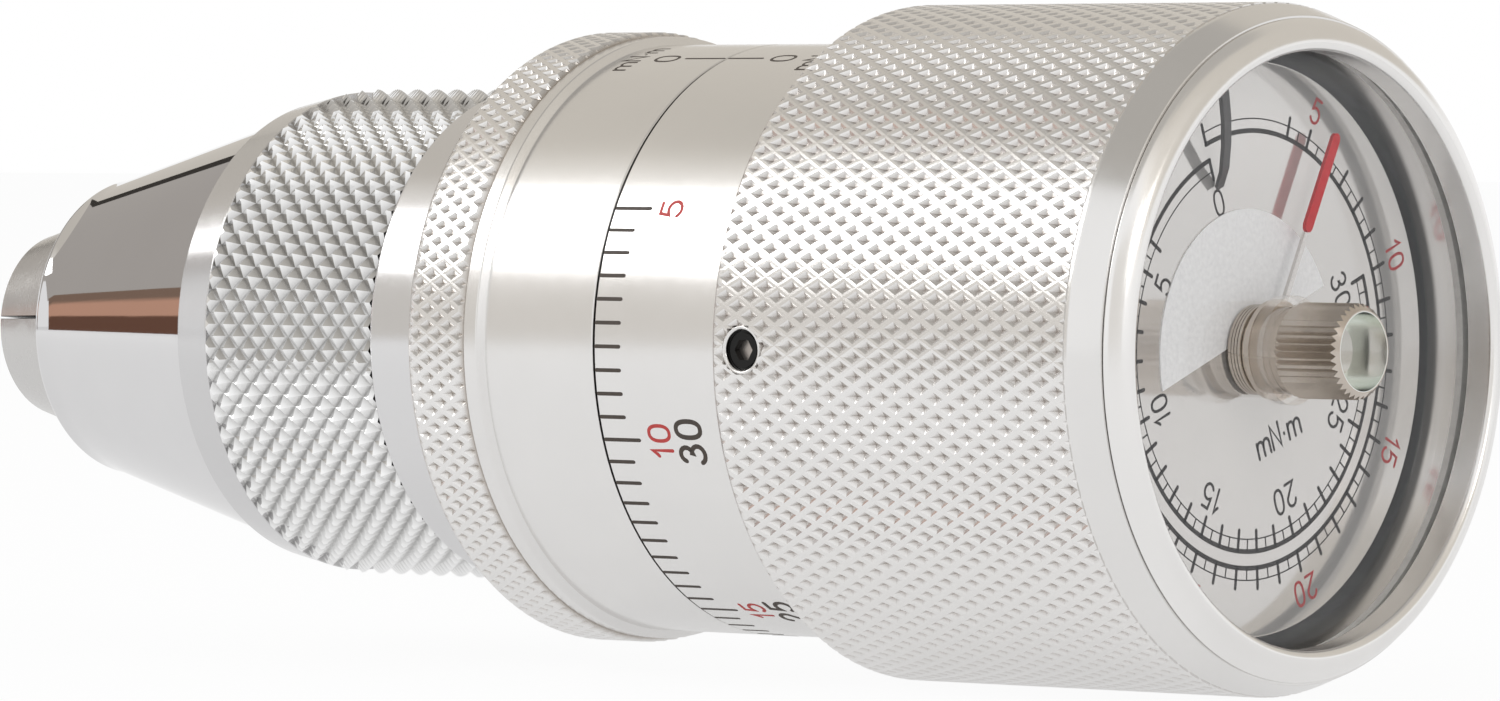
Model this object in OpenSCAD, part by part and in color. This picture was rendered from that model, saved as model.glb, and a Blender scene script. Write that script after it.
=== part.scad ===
// Hand-held dial torque tester with a keyless three-jaw chuck.
// Millimetres. The spindle axis is X: the chuck mouth is at the origin and the dial faces +X.
// +Z is up when the tester lies on its grip. Angles are read from the top, towards -Y.

/* [Chuck] */
// how far the closed jaws stand out of the hood
jaw_reach = 8.1; // [6:0.1:10]
// diameter over the closed jaws at the mouth
nose_d = 15.1; // [13:0.1:18]
// half angle of the jaws' backs and of the hood
taper_deg = 15.2; // [14:0.1:16]
// length of one jaw
jaw_len = 18; // [17:0.1:19]
// length of the gripping faces
jaw_grip_len = 7; // [5:0.1:8]
// smallest diameter the jaws close on
chuck_min_d = 1; // [0.6:0.1:2]
// largest diameter the jaws open to
chuck_open_d = 8; // [6:0.1:8.2]
// length of the polished hood
hood_len = 22.5; // [21.5:0.1:24]
// wall of the hood at its collar
hood_wall = 1.775; // [1.6:0.005:2.4]
// radius of the hood's rounded mouth
hood_round_r = 2.8; // [1.8:0.1:3.2]
// plain collar between the hood and the knurl
collar_len = 4.2; // [3.6:0.1:6]
// how far the collar stands out of the hood
collar_step = 0.65; // [0.4:0.05:1.2]
// how far the sleeve's knurl stands out of the collar
knurl_step = 1; // [0.6:0.05:2]
// pitch of its diamonds, every second tooth of the real knurl so that they need few faces
knurl_pitch = 4.35; // [3.8:0.05:6]
// depth of its grooves
knurl_deep = 0.72; // [0.4:0.01:0.8]
// side of the square post that the jaw carrier runs on
post_side = 4.4; // [3.6:0.1:4.6]

/* [Front ring] */
// how deep the chuck's body sits in the flange; the sleeve ends in front of it
boss_seat_len = 4.56; // [3.6:0.02:6]
// polished flange behind the chuck
flange_len = 7.8; // [7:0.1:12]
// how far it stands out of the sleeve's knurl
flange_step = 0.1; // [-1:0.05:1.5]
// fine knurl of the front ring
ring_len = 5.6; // [5:0.1:10]
// how far that knurl stands out of the land
ring_step = 0.35; // [0.2:0.05:1]
// plain land behind the knurl
land_len = 1.6; // [1:0.1:3]
// how far the land stands out of the band
land_step = 0.65; // [0.4:0.05:1.2]
// smooth band with the index line
band_len = 10.9; // [9:0.1:16]
// how far the band and the drum stand out of the housing's bore
band_over = 0.25; // [0.15:0.01:0.5]
// wall of the band
band_wall = 2; // [1.5:0.1:3]

/* [Grip housing] */
// scale drum between the seam and the knurl
drum_len = 13.9; // [12:0.1:18]
// knurled length
grip_len = 33.4; // [32:0.1:44]
// bore of the housing
cavity_d = 45.6; // [42:0.1:54]
// wall under the crests of the knurl
grip_wall = 3.2; // [3:0.1:5]
// plain rim at the dial end
rim_len = 2.7; // [2.4:0.1:4]
// how far the rim lies below the knurl
rim_step = 1; // [0.4:0.1:1.2]
// diameter of the three clamping screws
screw_d = 3; // [2:0.1:4]

/* [Spindle] */
// diameter of the spindle
spindle_d = 8; // [7:0.1:8.4]
// outside diameter, width and ball diameter of the two bearings
bearing_d = 22; // [20:0.1:24]
bearing_w = 7; // [6:0.1:8]
ball_d = 3; // [2.6:0.1:3.4]
// number of balls in a bearing
ball_count = 8; // [6:1:9]
// turns, strip and width of the measuring spring
spring_turns = 4; // [2:1:5]
spring_t = 0.6; // [0.4:0.05:0.9]
spring_w = 6; // [4:0.1:7]

/* [Dial end] */
// depth of the dial below the housing's end
dial_drop = 4.9; // [4.9:0.1:5.4]
// gap round the dial, and its thickness
dial_gap = 1.15; // [0.8:0.05:2]
dial_t = 1; // [0.8:0.1:1.4]
// how far the bezel lies inside the rim
bezel_inset = 0.15; // [0:0.01:0.4]
// height of the bezel, and how far it reaches inside the housing's bore
bezel_rise = 1.55; // [1:0.05:2]
bezel_lip = 0.45; // [0.2:0.05:0.8]
// thickness of the crystal and depth of its face below the housing's end
crystal_t = 0.8; // [0.6:0.05:0.9]
crystal_drop = 0.9; // [0.6:0.05:1]
// hole in the crystal
crystal_hole_d = 8.2; // [8:0.1:9]
// direction of the zero line from the top
zero_deg = 20.5; // [0:0.5:359]

/* [Memory hand] */
// knob over its flutes
knob_d = 7.2; // [7.1:0.05:7.6]
knob_len = 5.75; // [5.2:0.05:8]
knob_flutes = 36; // [24:1:40]
flute_depth = 0.3; // [0.15:0.01:0.35]
// how far the knob's neck lies inside the flutes' bottoms
knob_neck_in = 0.05; // [0.02:0.01:0.4]
// cup in the knob's end
knob_cup_d = 5.9; // [5:0.05:6]
knob_cup_depth = 3.4; // [2.4:0.05:4]
// how far the hand ends inside the dial's edge, and the share of its reach that is red
hand_short = 3.25; // [2:0.05:5]
blade_share = 0.4675; // [0.3:0.0025:0.6]
blade_w = 1.2; // [0.8:0.05:1.6]
neck_w = 0.45; // [0.3:0.05:0.7]
// how far the hand stands past zero, clockwise as seen on the dial
hand_deg = 48.5; // [30:0.5:300]

/* [Hidden] */
$fn = 96;
eps = 0.1;            // overrun of cuts
seat = 0.02;          // between pieces of one body that fit round each other
run = 0.05;           // radial running clearance of a shaft in its bore
air = 0.3;            // between curved faces of different bodies
slip = 0.2;           // between flat faces of different bodies
jaw_seam = 0.2;       // gap between closed jaws
sleeve_gap = 0.4;     // between the sleeve and the flange
edge = 0.4;           // small chamfers
deg120 = 120;
taper = tan(taper_deg);

// diameters, each from the one inside it
cavity_r = cavity_d / 2;
grip_r = cavity_r + grip_wall;
rim_r = grip_r - rim_step;
band_r = cavity_r + band_over;
land_r = band_r + land_step;
ring_r = land_r + ring_step;
dial_r = cavity_r - dial_gap;

// stations along the axis, from the chuck mouth
x_hood = jaw_reach;
x_collar = x_hood + hood_len;
x_knurl = x_collar + collar_len;

// the hood's cones and the chuck's outside
nose_r = nose_d / 2;
hood_bore = nose_r + air / cos(taper_deg);     // its inner cone, read at the mouth
hood_r = hood_bore + x_collar * taper + hood_wall;
collar_r = hood_r + collar_step;
sleeve_r = collar_r + knurl_step;
flange_r = sleeve_r + flange_step;

// jaws and their carrier
open_r = (chuck_open_d - chuck_min_d) / 2;     // radial travel
stroke = open_r / taper;                       // travel along the axis
jaw_seam_deg = 84.4;                           // direction of the seam that shows
jaw_mid_deg = jaw_seam_deg - deg120 / 2;
relief_r = chuck_open_d / 2;                   // inside the jaws behind the grip
foot_neck_t = 1.5;
foot_head_t = 1.8;
foot_neck_w = 2.6;
foot_head_w = 4.4;
foot_in = relief_r + 3 * slip;
foot_len = 4;
carrier_front_t = 1.3;
carrier_t = 5;
carrier_in = 0.44;       // inside the backs of the closed jaws
carrier_r = nose_r + jaw_len * taper - carrier_in;
x_carrier = jaw_len + slip;
tube_r = 8;
tube_bore_r = 4.6;
nut_w = 4;
x_nut = x_carrier + carrier_t + stroke + 2 * slip;
x_body = x_nut + nut_w + 2 * slip;
tube_len = x_body - x_carrier - carrier_t;
body_cav_end = x_body + stroke + 2 * slip;
body_back_t = 2.6;
body_in = 2.45;
body_r = hood_r - body_in;
body_boss_r = 10;
x_body_end = body_cav_end + body_back_t;
sleeve_bore_r = body_r + run;
nut_over = 0.9;
nut_r = body_r + nut_over;
hood_skirt_t = 1;
hood_skirt_len = 3;
post_tip_in = 0.8;        // behind the carrier's front face
post_tip = x_carrier + post_tip_in;
snap_w = 1;
snap_in = 0.9;
snap_out = 0.6;
snap_from_body = 5;
x_snap = x_body + snap_from_body;
snap_gap_w = 3;

// stations behind the chuck
x_flange = x_body_end - boss_seat_len;
x_sleeve = x_flange - sleeve_gap;
x_ring = x_flange + flange_len;
x_land = x_ring + ring_len;
x_band = x_land + land_len;
x_seam = x_band + band_len;
x_drum = x_seam + slip;
x_grip = x_drum + drum_len;
x_rim = x_grip + grip_len;
x_end = x_rim + rim_len;

// spindle, bearings and spring
spindle_r = spindle_d / 2;
web_t = 4;
nut_af_r = 7;
spindle_nut_t = 3.5;
bearing1_in = 3.7;        // behind the drum's front face
bearing2_in = 8.8;        // behind the start of the grip
x_bearing1 = x_drum + bearing1_in;
x_bearing2 = x_grip + bearing2_in;
race_t = 1.6;
race_mid_r = (spindle_r + bearing_d / 2) / 2;
ball_r = ball_d / 2;
spacer_t = 1.1;
bulkhead_t = 3;
boss_wall = 2.5;
x_bulk = x_bearing2 - edge;
spigot_wall = 1.8;
drum_bore_wall = 3.4;
collet_r = 6;
x_collet = x_bearing2 + bearing_w + edge;
x_spring = x_collet + edge;
collet_len = spring_w + 2 * edge;
post_r = 1.25;
post_from_wall = 3;
post_ring_r = cavity_r - post_from_wall;
bulk_ring_w = 1;
bulk_ring_in = 1;
bulk_ring_out = 0.5;
set_len = grip_wall - edge;
set_socket_af = 1.5;
set_socket_deep = 1.6;
set_in = 3;               // from the start of the grip
x_set = x_grip + set_in;

// dial end
x_dial = x_end - dial_drop;
hub_flange_t = 2.5;
hub_flange_r = 9;
hub_r = 5.2;
hub_end_wall = 1;
hub_boss_len = 2;
x_hub = x_dial - dial_t - hub_flange_t - hub_boss_len;
dial_screw_ring_r = 7.2;
dial_screw_r = 1;
dial_head_r = 1.6;
dial_head_t = 1.2;
x_glass = x_end - crystal_drop - crystal_t;    // inner face of the crystal
gasket_t = 0.6;
counter_step = 1.2;
counter_r = cavity_r + counter_step;
label_in = 10.85;         // inside the dial's edge
label_r = dial_r - label_in;
label_t = 0.1;
label_chord = 1.2;
label_shift = 0.7;
index_t = 0.35;
index_w = 0.9;

// memory hand
knob_sink = 0.3;          // of the flutes below the housing's end
knob_start = x_end - knob_sink;
x_knob_end = knob_start + knob_len;
bush_over = 0.4;
knob_r = knob_d / 2;
knob_neck_r = knob_r - flute_depth - knob_neck_in;
bush_bore_r = knob_neck_r + run;
x_bush = x_glass - bush_over;
hub_gap = air;
hand_hub_t = 1.05;
hand_flange_t = 0.4;
hand_flange_r = 3.8;
hand_hub_r = 3.2;
x_hand_top = x_bush - hub_gap;
x_hand = x_hand_top - hand_hub_t;
hand_t = 0.3;
washer_t = 0.22;
washer_gap = 0.05;
washer_r = 3.4;
washer_count = 3;
stem_r = 2.4;
stem_flange_t = 0.26;
x_stem = x_dial + air;
knob_floor_t = 0.95;
x_cup = x_knob_end - knob_cup_depth;
knob_screw_r = 1;
knob_head_r = 1.9;
knob_head_t = 1;
knob_slot_w = 0.5;
knob_slot_deep = 0.5;
knob_chamfer = 0.5;

// a solid turned about the X axis, from points of [radius, station]
module turned(points) rotate([0, 90, 0]) rotate_extrude() polygon(points);
// a round bar along X
module bar(x, len, r) translate([x, 0, 0]) rotate([0, 90, 0]) cylinder(h = len, r = r);
// a ring along X
module ring(x, len, r_out, r_in) difference() {
    bar(x, len, r_out);
    bar(x - eps, len + 2 * eps, r_in);
}
// places a piece that was made at the top round the axis
module around(angle) rotate([angle, 0, 0]) children();

function arc(cx, cr, r, a0, a1, n) =
    [for (i = [0 : n]) let (a = a0 + (a1 - a0) * i / n) [cr + r * sin(a), cx + r * cos(a)]];

// jaws: three sectors of one cone that slide back along its slope
module sector(len, reach) rotate([0, 90, 0]) linear_extrude(height = len)
    polygon([[-jaw_seam / 2 / sin(deg120 / 2), 0],
        [-reach * cos(deg120 / 2) - jaw_seam / 2 / sin(deg120 / 2), reach * sin(deg120 / 2)],
        [-2 * reach, 0],
        [-reach * cos(deg120 / 2) - jaw_seam / 2 / sin(deg120 / 2), -reach * sin(deg120 / 2)]]);

module jaw_solid() {
    intersection() {
        turned([[chuck_min_d / 2, 0], [nose_r - edge / 2, 0], [nose_r, edge / 2],
            [nose_r + jaw_len * taper, jaw_len], [relief_r, jaw_len],
            [relief_r, jaw_grip_len + relief_r - chuck_min_d / 2], [chuck_min_d / 2, jaw_grip_len]]);
        translate([-eps, 0, 0]) sector(jaw_len + 2 * eps, 2 * nose_d);
    }
    translate([jaw_len - eps, -foot_neck_w / 2, foot_in])
        cube([foot_neck_t + 2 * eps, foot_neck_w, foot_len]);
    translate([jaw_len + foot_neck_t, -foot_head_w / 2, foot_in])
        cube([foot_head_t, foot_head_w, foot_len]);
}
module jaw_1() color("lightsteelblue") around(jaw_mid_deg) jaw_solid();
module jaw_2() color("lightsteelblue") around(jaw_mid_deg + deg120) jaw_solid();
module jaw_3() color("lightsteelblue") around(jaw_mid_deg + 2 * deg120) jaw_solid();

module jaw_carrier() color("slategray") difference() {
    union() {
        bar(x_carrier, carrier_t, carrier_r);
        bar(x_carrier + carrier_t - eps, tube_len + eps, tube_r);
    }
    bar(x_carrier + carrier_t, tube_len + eps, tube_bore_r);
    translate([x_carrier - eps, -post_side / 2 - slip / 2, -post_side / 2 - slip / 2])
        cube([carrier_t + 2 * eps, post_side + slip, post_side + slip]);
    for (i = [0 : 2]) around(jaw_mid_deg + i * deg120) {
        translate([x_carrier - eps, -foot_neck_w / 2 - slip, foot_in - 2 * slip])
            cube([carrier_front_t + 2 * eps, foot_neck_w + 2 * slip, carrier_r]);
        translate([jaw_len + foot_neck_t - slip, -foot_head_w / 2 - slip, foot_in - 2 * slip])
            cube([foot_head_t + 2 * slip, foot_head_w + 2 * slip, carrier_r]);
    }
}

// hood: its outside and inside run parallel to the backs of the jaws
hood_cx = x_hood + hood_round_r;
hood_cr = hood_r - (x_collar - hood_cx) * taper - hood_round_r / cos(taper_deg);
hood_in = hood_bore + x_hood * taper;
hood_in_end = min(hood_bore + x_collar * taper, nut_r);
x_hood_in_end = (hood_in_end - hood_bore) / taper;
mouth_deg = asin(max(0, min(1, (hood_in - hood_cr) / hood_round_r)));
mouth_ease_deg = 1;
module nose_hood() color("gainsboro") turned(concat(
    [[hood_bore + (hood_cx - hood_round_r * cos(mouth_deg)) * taper,
        hood_cx - hood_round_r * cos(mouth_deg)]],
    arc(hood_cx, hood_cr, hood_round_r, 180 - mouth_deg - mouth_ease_deg, 90 + taper_deg, 10),
    [[hood_r, x_collar], [nut_r + hood_skirt_t, x_collar],
        [nut_r + hood_skirt_t, x_collar + hood_skirt_len], [nut_r, x_collar + hood_skirt_len],
        [nut_r, x_collar], [hood_in_end, x_hood_in_end]]));

// the sleeve's knurl: rows of points round the axis, at the grooves' bottom where row and column
// sum to an even number and at a tooth's top between them, so grooves run along both diagonals
x_teeth = x_knurl - edge;
teeth_len = x_sleeve - x_teeth;
teeth_rows = 2 * max(1, round(teeth_len / knurl_pitch));
teeth_cols = 2 * round(2 * PI * sleeve_r / knurl_pitch);
teeth_root_r = sleeve_r - knurl_deep;
function tooth_r(j, k) = j == teeth_rows || (j + k) % 2 == 0 ? teeth_root_r
    : j == 0 ? sleeve_r - edge / 2 : sleeve_r;
function tooth_at(j, k) = let (a = 3 * deg120 * k / teeth_cols)
    [x_teeth + teeth_len * j / teeth_rows, -tooth_r(j, k) * sin(a), tooth_r(j, k) * cos(a)];
function tooth_no(j, k) = j * teeth_cols + k % teeth_cols;
function tooth_faces(a, b, c, d, along) = along ? [[a, b, c], [a, c, d]] : [[a, b, d], [b, c, d]];
module knurled_bar() polyhedron(
    points = concat([for (j = [0 : teeth_rows], k = [0 : teeth_cols - 1]) tooth_at(j, k)],
        [[x_teeth, 0, 0], [x_sleeve, 0, 0]]),
    faces = concat(
        [for (k = [0 : teeth_cols - 1]) each [[teeth_cols * (teeth_rows + 1), tooth_no(0, k), tooth_no(0, k + 1)],
            [teeth_cols * (teeth_rows + 1) + 1, tooth_no(teeth_rows, k + 1), tooth_no(teeth_rows, k)]]],
        [for (j = [0 : teeth_rows - 1], k = [0 : teeth_cols - 1])
            each tooth_faces(tooth_no(j, k), tooth_no(j + 1, k), tooth_no(j + 1, k + 1), tooth_no(j, k + 1),
                (j + k) % 2 == 0)]));

module chuck_sleeve() color("silver") difference() {
    union() {
        turned([[0, x_collar], [collar_r, x_collar], [sleeve_r - edge / 2, x_teeth], [0, x_teeth]]);
        knurled_bar();
    }
    turned([[0, x_collar - eps], [nut_r + hood_skirt_t + seat, x_collar - eps],
        [nut_r + hood_skirt_t + seat, x_collar + hood_skirt_len], [nut_r + seat, x_collar + hood_skirt_len],
        [nut_r + seat, x_nut + nut_w], [sleeve_bore_r, x_nut + nut_w], [sleeve_bore_r, x_snap - slip],
        [body_r + snap_out + air, x_snap - slip], [body_r + snap_out + air, x_snap + snap_w + slip],
        [sleeve_bore_r, x_snap + snap_w + slip], [sleeve_bore_r, x_sleeve + eps], [0, x_sleeve + eps]]);
}

module drive_nut() color("goldenrod") ring(x_nut, nut_w, nut_r, tube_r + run);

module chuck_body() color("dimgray") turned([
    [tube_r + 2 * slip, x_body], [body_r - edge, x_body], [body_r, x_body + edge],
    [body_r, x_snap - run], [body_r - snap_in, x_snap - run],
    [body_r - snap_in, x_snap + snap_w + run], [body_r, x_snap + snap_w + run],
    [body_r, x_flange], [body_boss_r, x_flange], [body_boss_r, x_body_end],
    [spindle_r + seat, x_body_end], [spindle_r + seat, body_cav_end],
    [tube_r + 2 * slip, body_cav_end]]);

module sleeve_snap_ring() color("gray") difference() {
    ring(x_snap, snap_w, body_r + snap_out, body_r - snap_in + seat);
    translate([x_snap - eps, -snap_gap_w / 2, 0])
        cube([snap_w + 2 * eps, snap_gap_w, body_r + snap_out + eps]);
}

module chuck_flange() color("gainsboro") turned([
    [body_boss_r + seat, x_flange], [flange_r - edge, x_flange],
    [flange_r, x_flange + edge], [flange_r, x_ring],
    [spindle_r + seat, x_ring], [spindle_r + seat, x_body_end], [body_boss_r + seat, x_body_end]]);

module front_ring() color("lightgray") turned([
    [spindle_r + seat, x_ring], [ring_r - edge, x_ring], [ring_r, x_ring + edge],
    [ring_r, x_land - edge / 2], [land_r, x_land], [land_r, x_band - edge / 2],
    [land_r - edge / 2, x_band], [band_r, x_band], [band_r, x_seam - edge / 2],
    [band_r - edge / 2, x_seam], [band_r - band_wall, x_seam],
    [band_r - band_wall, x_ring + web_t], [spindle_r + seat, x_ring + web_t]]);

// spindle: a square post in front, a round shaft behind
x_spindle_end = x_dial - dial_t - hub_end_wall;
module spindle() color("lightslategray") union() {
    translate([post_tip, -post_side / 2, -post_side / 2])
        cube([body_cav_end + eps - post_tip, post_side, post_side]);
    bar(body_cav_end, x_spindle_end - body_cav_end, spindle_r);
}
module spindle_nut() color("darkgray") difference() {
    translate([x_ring + web_t, 0, 0]) rotate([0, 90, 0])
        cylinder(h = spindle_nut_t, r = nut_af_r / cos(30), $fn = 6);
    bar(x_ring + web_t - eps, spindle_nut_t + 2 * eps, spindle_r + seat);
}
module front_spacer() color("darkgray")
    ring(x_ring + web_t + spindle_nut_t, x_bearing1 - x_ring - web_t - spindle_nut_t,
        spindle_r + spacer_t, spindle_r + seat);
module middle_spacer() color("darkgray")
    ring(x_bearing1 + bearing_w, x_bearing2 - x_bearing1 - bearing_w,
        spindle_r + spacer_t, spindle_r + seat);

module race(x, r_out, r_in) rotate([0, 90, 0]) rotate_extrude() difference() {
    translate([r_in, x]) square([r_out - r_in, bearing_w]);
    translate([race_mid_r, x + bearing_w / 2]) circle(r = ball_r + run, $fn = 48);
}
module bearing_inner_rings() color("silver") for (x = [x_bearing1, x_bearing2])
    race(x, spindle_r + race_t, spindle_r + seat);
module bearing_outer_rings() color("silver") for (x = [x_bearing1, x_bearing2])
    race(x, bearing_d / 2, bearing_d / 2 - race_t);
module bearing_balls() color("white") for (x = [x_bearing1, x_bearing2])
    for (i = [0 : ball_count - 1]) around(i * 360 / ball_count)
        translate([x + bearing_w / 2, 0, race_mid_r]) sphere(r = ball_r, $fn = 32);

// measuring spring: a flat strip wound from the collet out to the post
spring_r0 = collet_r + air + spring_t / 2;
spring_r1 = post_ring_r - post_r - run - spring_t / 2;
spring_steps = 24;
spring_n = spring_turns * spring_steps;
function spring_r(i) = spring_r0 + (spring_r1 - spring_r0) * i / spring_n;
function spring_a(i) = 360 * spring_turns * i / spring_n;
spring_points = concat(
    [for (i = [0 : spring_n]) (spring_r(i) + spring_t / 2) * [-cos(spring_a(i)), sin(spring_a(i))]],
    [for (i = [spring_n : -1 : 0])
        (spring_r(i) - spring_t / 2) * [-cos(spring_a(i)), sin(spring_a(i))]]);
echo(str("least gap between turns of the spring: ",
    (spring_r1 - spring_r0) / spring_turns - spring_t));
module measuring_spring() color("steelblue") translate([x_spring, 0, 0]) rotate([0, 90, 0])
    linear_extrude(height = spring_w) polygon(spring_points);
module spring_collet() color("peru") ring(x_collet, collet_len, collet_r, spindle_r + seat);
module spring_post() color("gray") translate([x_bulk, 0, post_ring_r]) rotate([0, 90, 0])
    cylinder(h = x_spring + spring_w - x_bulk, r = post_r);

spigot_r = cavity_r - seat;
boss_r = bearing_d / 2 + boss_wall;
module scale_drum() color("lightgray") turned([
    [bearing_d / 2 + seat, x_bearing1], [boss_r, x_bearing1],
    [band_r - drum_bore_wall, x_drum + edge], [band_r - drum_bore_wall, x_drum],
    [band_r - edge / 2, x_drum], [band_r, x_drum + edge / 2], [band_r, x_grip],
    [spigot_r, x_grip], [spigot_r, x_bulk],
    [spigot_r - spigot_wall, x_bulk], [spigot_r - spigot_wall, x_grip],
    [boss_r, x_bearing1 + bearing_w], [boss_r - boss_wall, x_bearing1 + bearing_w + edge],
    [bearing_d / 2 - race_t, x_bearing1 + bearing_w + edge],
    [bearing_d / 2 - race_t, x_bearing1 + bearing_w], [bearing_d / 2 + seat, x_bearing1 + bearing_w]]);

module bulkhead() color("slategray") difference() {
    turned([[bearing_d / 2 + seat, x_bearing2], [bearing_d / 2 + seat, x_bearing2 + bearing_w],
        [boss_r, x_bearing2 + bearing_w], [boss_r, x_bulk + bulkhead_t],
        [spigot_r, x_bulk + bulkhead_t], [spigot_r, x_bulk], [bearing_d / 2 - race_t, x_bulk],
        [bearing_d / 2 - race_t, x_bearing2]]);
    translate([x_bulk - eps, 0, post_ring_r]) rotate([0, 90, 0])
        cylinder(h = bulkhead_t + 2 * eps, r = post_r + seat);
}
x_bulk_ring = x_bulk + bulkhead_t + slip / 2;
module bulkhead_ring() color("gray") difference() {
    ring(x_bulk_ring, bulk_ring_w, cavity_r + bulk_ring_out - seat,
        cavity_r - bulk_ring_in);
    translate([x_bulk_ring - eps, -snap_gap_w / 2, -cavity_d])
        cube([bulk_ring_w + 2 * eps, snap_gap_w, cavity_d]);
}

x_counter = x_glass - gasket_t;
module grip_housing() color("whitesmoke") difference() {
    turned([[cavity_r, x_grip], [grip_r - 2 * edge, x_grip], [grip_r, x_grip + 2 * edge],
        [grip_r, x_rim], [grip_r - edge / 4, x_rim + edge], [rim_r, x_end],
        [counter_r + seat, x_end], [counter_r + seat, x_counter], [cavity_r, x_counter],
        [cavity_r, x_bulk_ring + bulk_ring_w + run],
        [cavity_r + bulk_ring_out, x_bulk_ring + bulk_ring_w + run],
        [cavity_r + bulk_ring_out, x_bulk_ring - run], [cavity_r, x_bulk_ring - run]]);
    for (i = [0 : 2]) around(90 + i * deg120) translate([x_set, 0, cavity_r - eps])
        cylinder(h = 2 * grip_wall, r = screw_d / 2 + seat);
}
module clamp_screws() color("black") for (i = [0 : 2]) around(90 + i * deg120)
    translate([x_set, 0, cavity_r]) difference() {
        cylinder(h = set_len, r = screw_d / 2);
        translate([0, 0, set_len - set_socket_deep])
            cylinder(h = set_socket_deep + eps, r = set_socket_af / 2 / cos(30), $fn = 6);
        translate([0, 0, set_len - edge / 2]) difference() {
            cylinder(h = edge, r = screw_d);
            translate([0, 0, -eps]) cylinder(h = edge + 2 * eps, r = screw_d / 2 - edge / 2);
        }
    }

module dial_hub() color("peru") difference() {
    turned([[0, x_spindle_end], [0, x_dial - dial_t], [hub_flange_r, x_dial - dial_t],
        [hub_flange_r, x_dial - dial_t - hub_flange_t], [hub_r, x_dial - dial_t - hub_flange_t],
        [hub_r, x_hub], [spindle_r + seat, x_hub], [spindle_r + seat, x_spindle_end]]);
    for (i = [0 : 2]) around(i * deg120)
        translate([x_dial - dial_t - hub_flange_t - eps, 0, dial_screw_ring_r]) rotate([0, 90, 0])
            cylinder(h = hub_flange_t + 2 * eps, r = dial_screw_r + seat, $fn = 32);
}
module dial_screws() color("dimgray") for (i = [0 : 2]) around(i * deg120)
    translate([x_dial - dial_t - hub_flange_t, 0, dial_screw_ring_r + dial_head_r - dial_screw_r])
        translate([0, 0, dial_screw_r - dial_head_r]) rotate([0, 90, 0]) union() {
            cylinder(h = hub_flange_t + dial_t / 2, r = dial_screw_r, $fn = 32);
            translate([0, 0, -dial_head_t]) difference() {
                cylinder(h = dial_head_t, r = dial_head_r, $fn = 32);
                translate([-dial_head_r - eps, -edge / 2, -eps])
                    cube([2 * dial_head_r + 2 * eps, edge, edge + eps]);
            }
        }
module dial_plate() color("lightgray") difference() {
    bar(x_dial - dial_t, dial_t, dial_r);
    for (i = [0 : 2]) around(i * deg120)
        translate([x_dial - dial_t - eps, 0, dial_screw_ring_r]) rotate([0, 90, 0])
            cylinder(h = dial_t / 2 + eps, r = dial_screw_r + seat, $fn = 32);
}
module dial_label() color("white") around(zero_deg) intersection() {
    translate([0, -label_shift, 0]) bar(x_dial, label_t, label_r);
    translate([x_dial - eps, -2 * label_r, label_chord]) cube([label_r, 4 * label_r, 2 * label_r]);
}

// pointer fixed to the housing's wall: it dips from below the crystal to the dial
dip = x_glass - x_dial;
wall_r = cavity_r - seat;
index_high_shares = [0.93, 0.9, 0.8, 0.64, 0.42, 0.14];   // of the space above the dial
index_reach_shares = [1, 0.895, 0.807, 0.72, 0.632, 0.566]; // of the housing's bore radius
index_tip_share = 0.4;                                     // of its thickness left at the tip
module index_pointer() color("black") around(zero_deg) translate([0, index_w / 2, 0])
    rotate([90, 0, 0]) linear_extrude(height = index_w) polygon(concat(
        [for (i = [0 : 5]) [x_dial + dip * index_high_shares[i], wall_r * index_reach_shares[i]]],
        [for (i = [5 : -1 : 0]) [x_dial + dip * index_high_shares[i] - index_t * (i == 5 ? index_tip_share : 1),
            wall_r * index_reach_shares[i] + (i == 5 ? index_t : 0)]]));

module crystal_gasket() color("black") ring(x_counter, gasket_t, counter_r, cavity_r);
module crystal() color("lightcyan") ring(x_glass, crystal_t, counter_r, crystal_hole_d / 2);
module crystal_bushing() color("aliceblue")
    ring(x_bush, bush_over + crystal_t, crystal_hole_d / 2 - seat, bush_bore_r);

bezel_r = rim_r - bezel_inset;
bezel_in = cavity_r - bezel_lip;
x_lip = x_end - crystal_drop;
// the lip's section: across its width from the bore, and out of its height
lip_out_shares = [0, 0.07, 0.2, 0.38, 0.6, 0.8, 0.94, 1];
lip_high_shares = [0.72, 0.9, 1, 0.98, 0.83, 0.56, 0.26, 0];
module bezel() color("silver") turned(concat([[bezel_in, x_lip]],
    [for (i = [0 : 7]) [bezel_in + (bezel_r - bezel_in) * lip_out_shares[i],
        x_end + bezel_rise * lip_high_shares[i]]],
    [[counter_r, x_end], [counter_r, x_lip]]));

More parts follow.
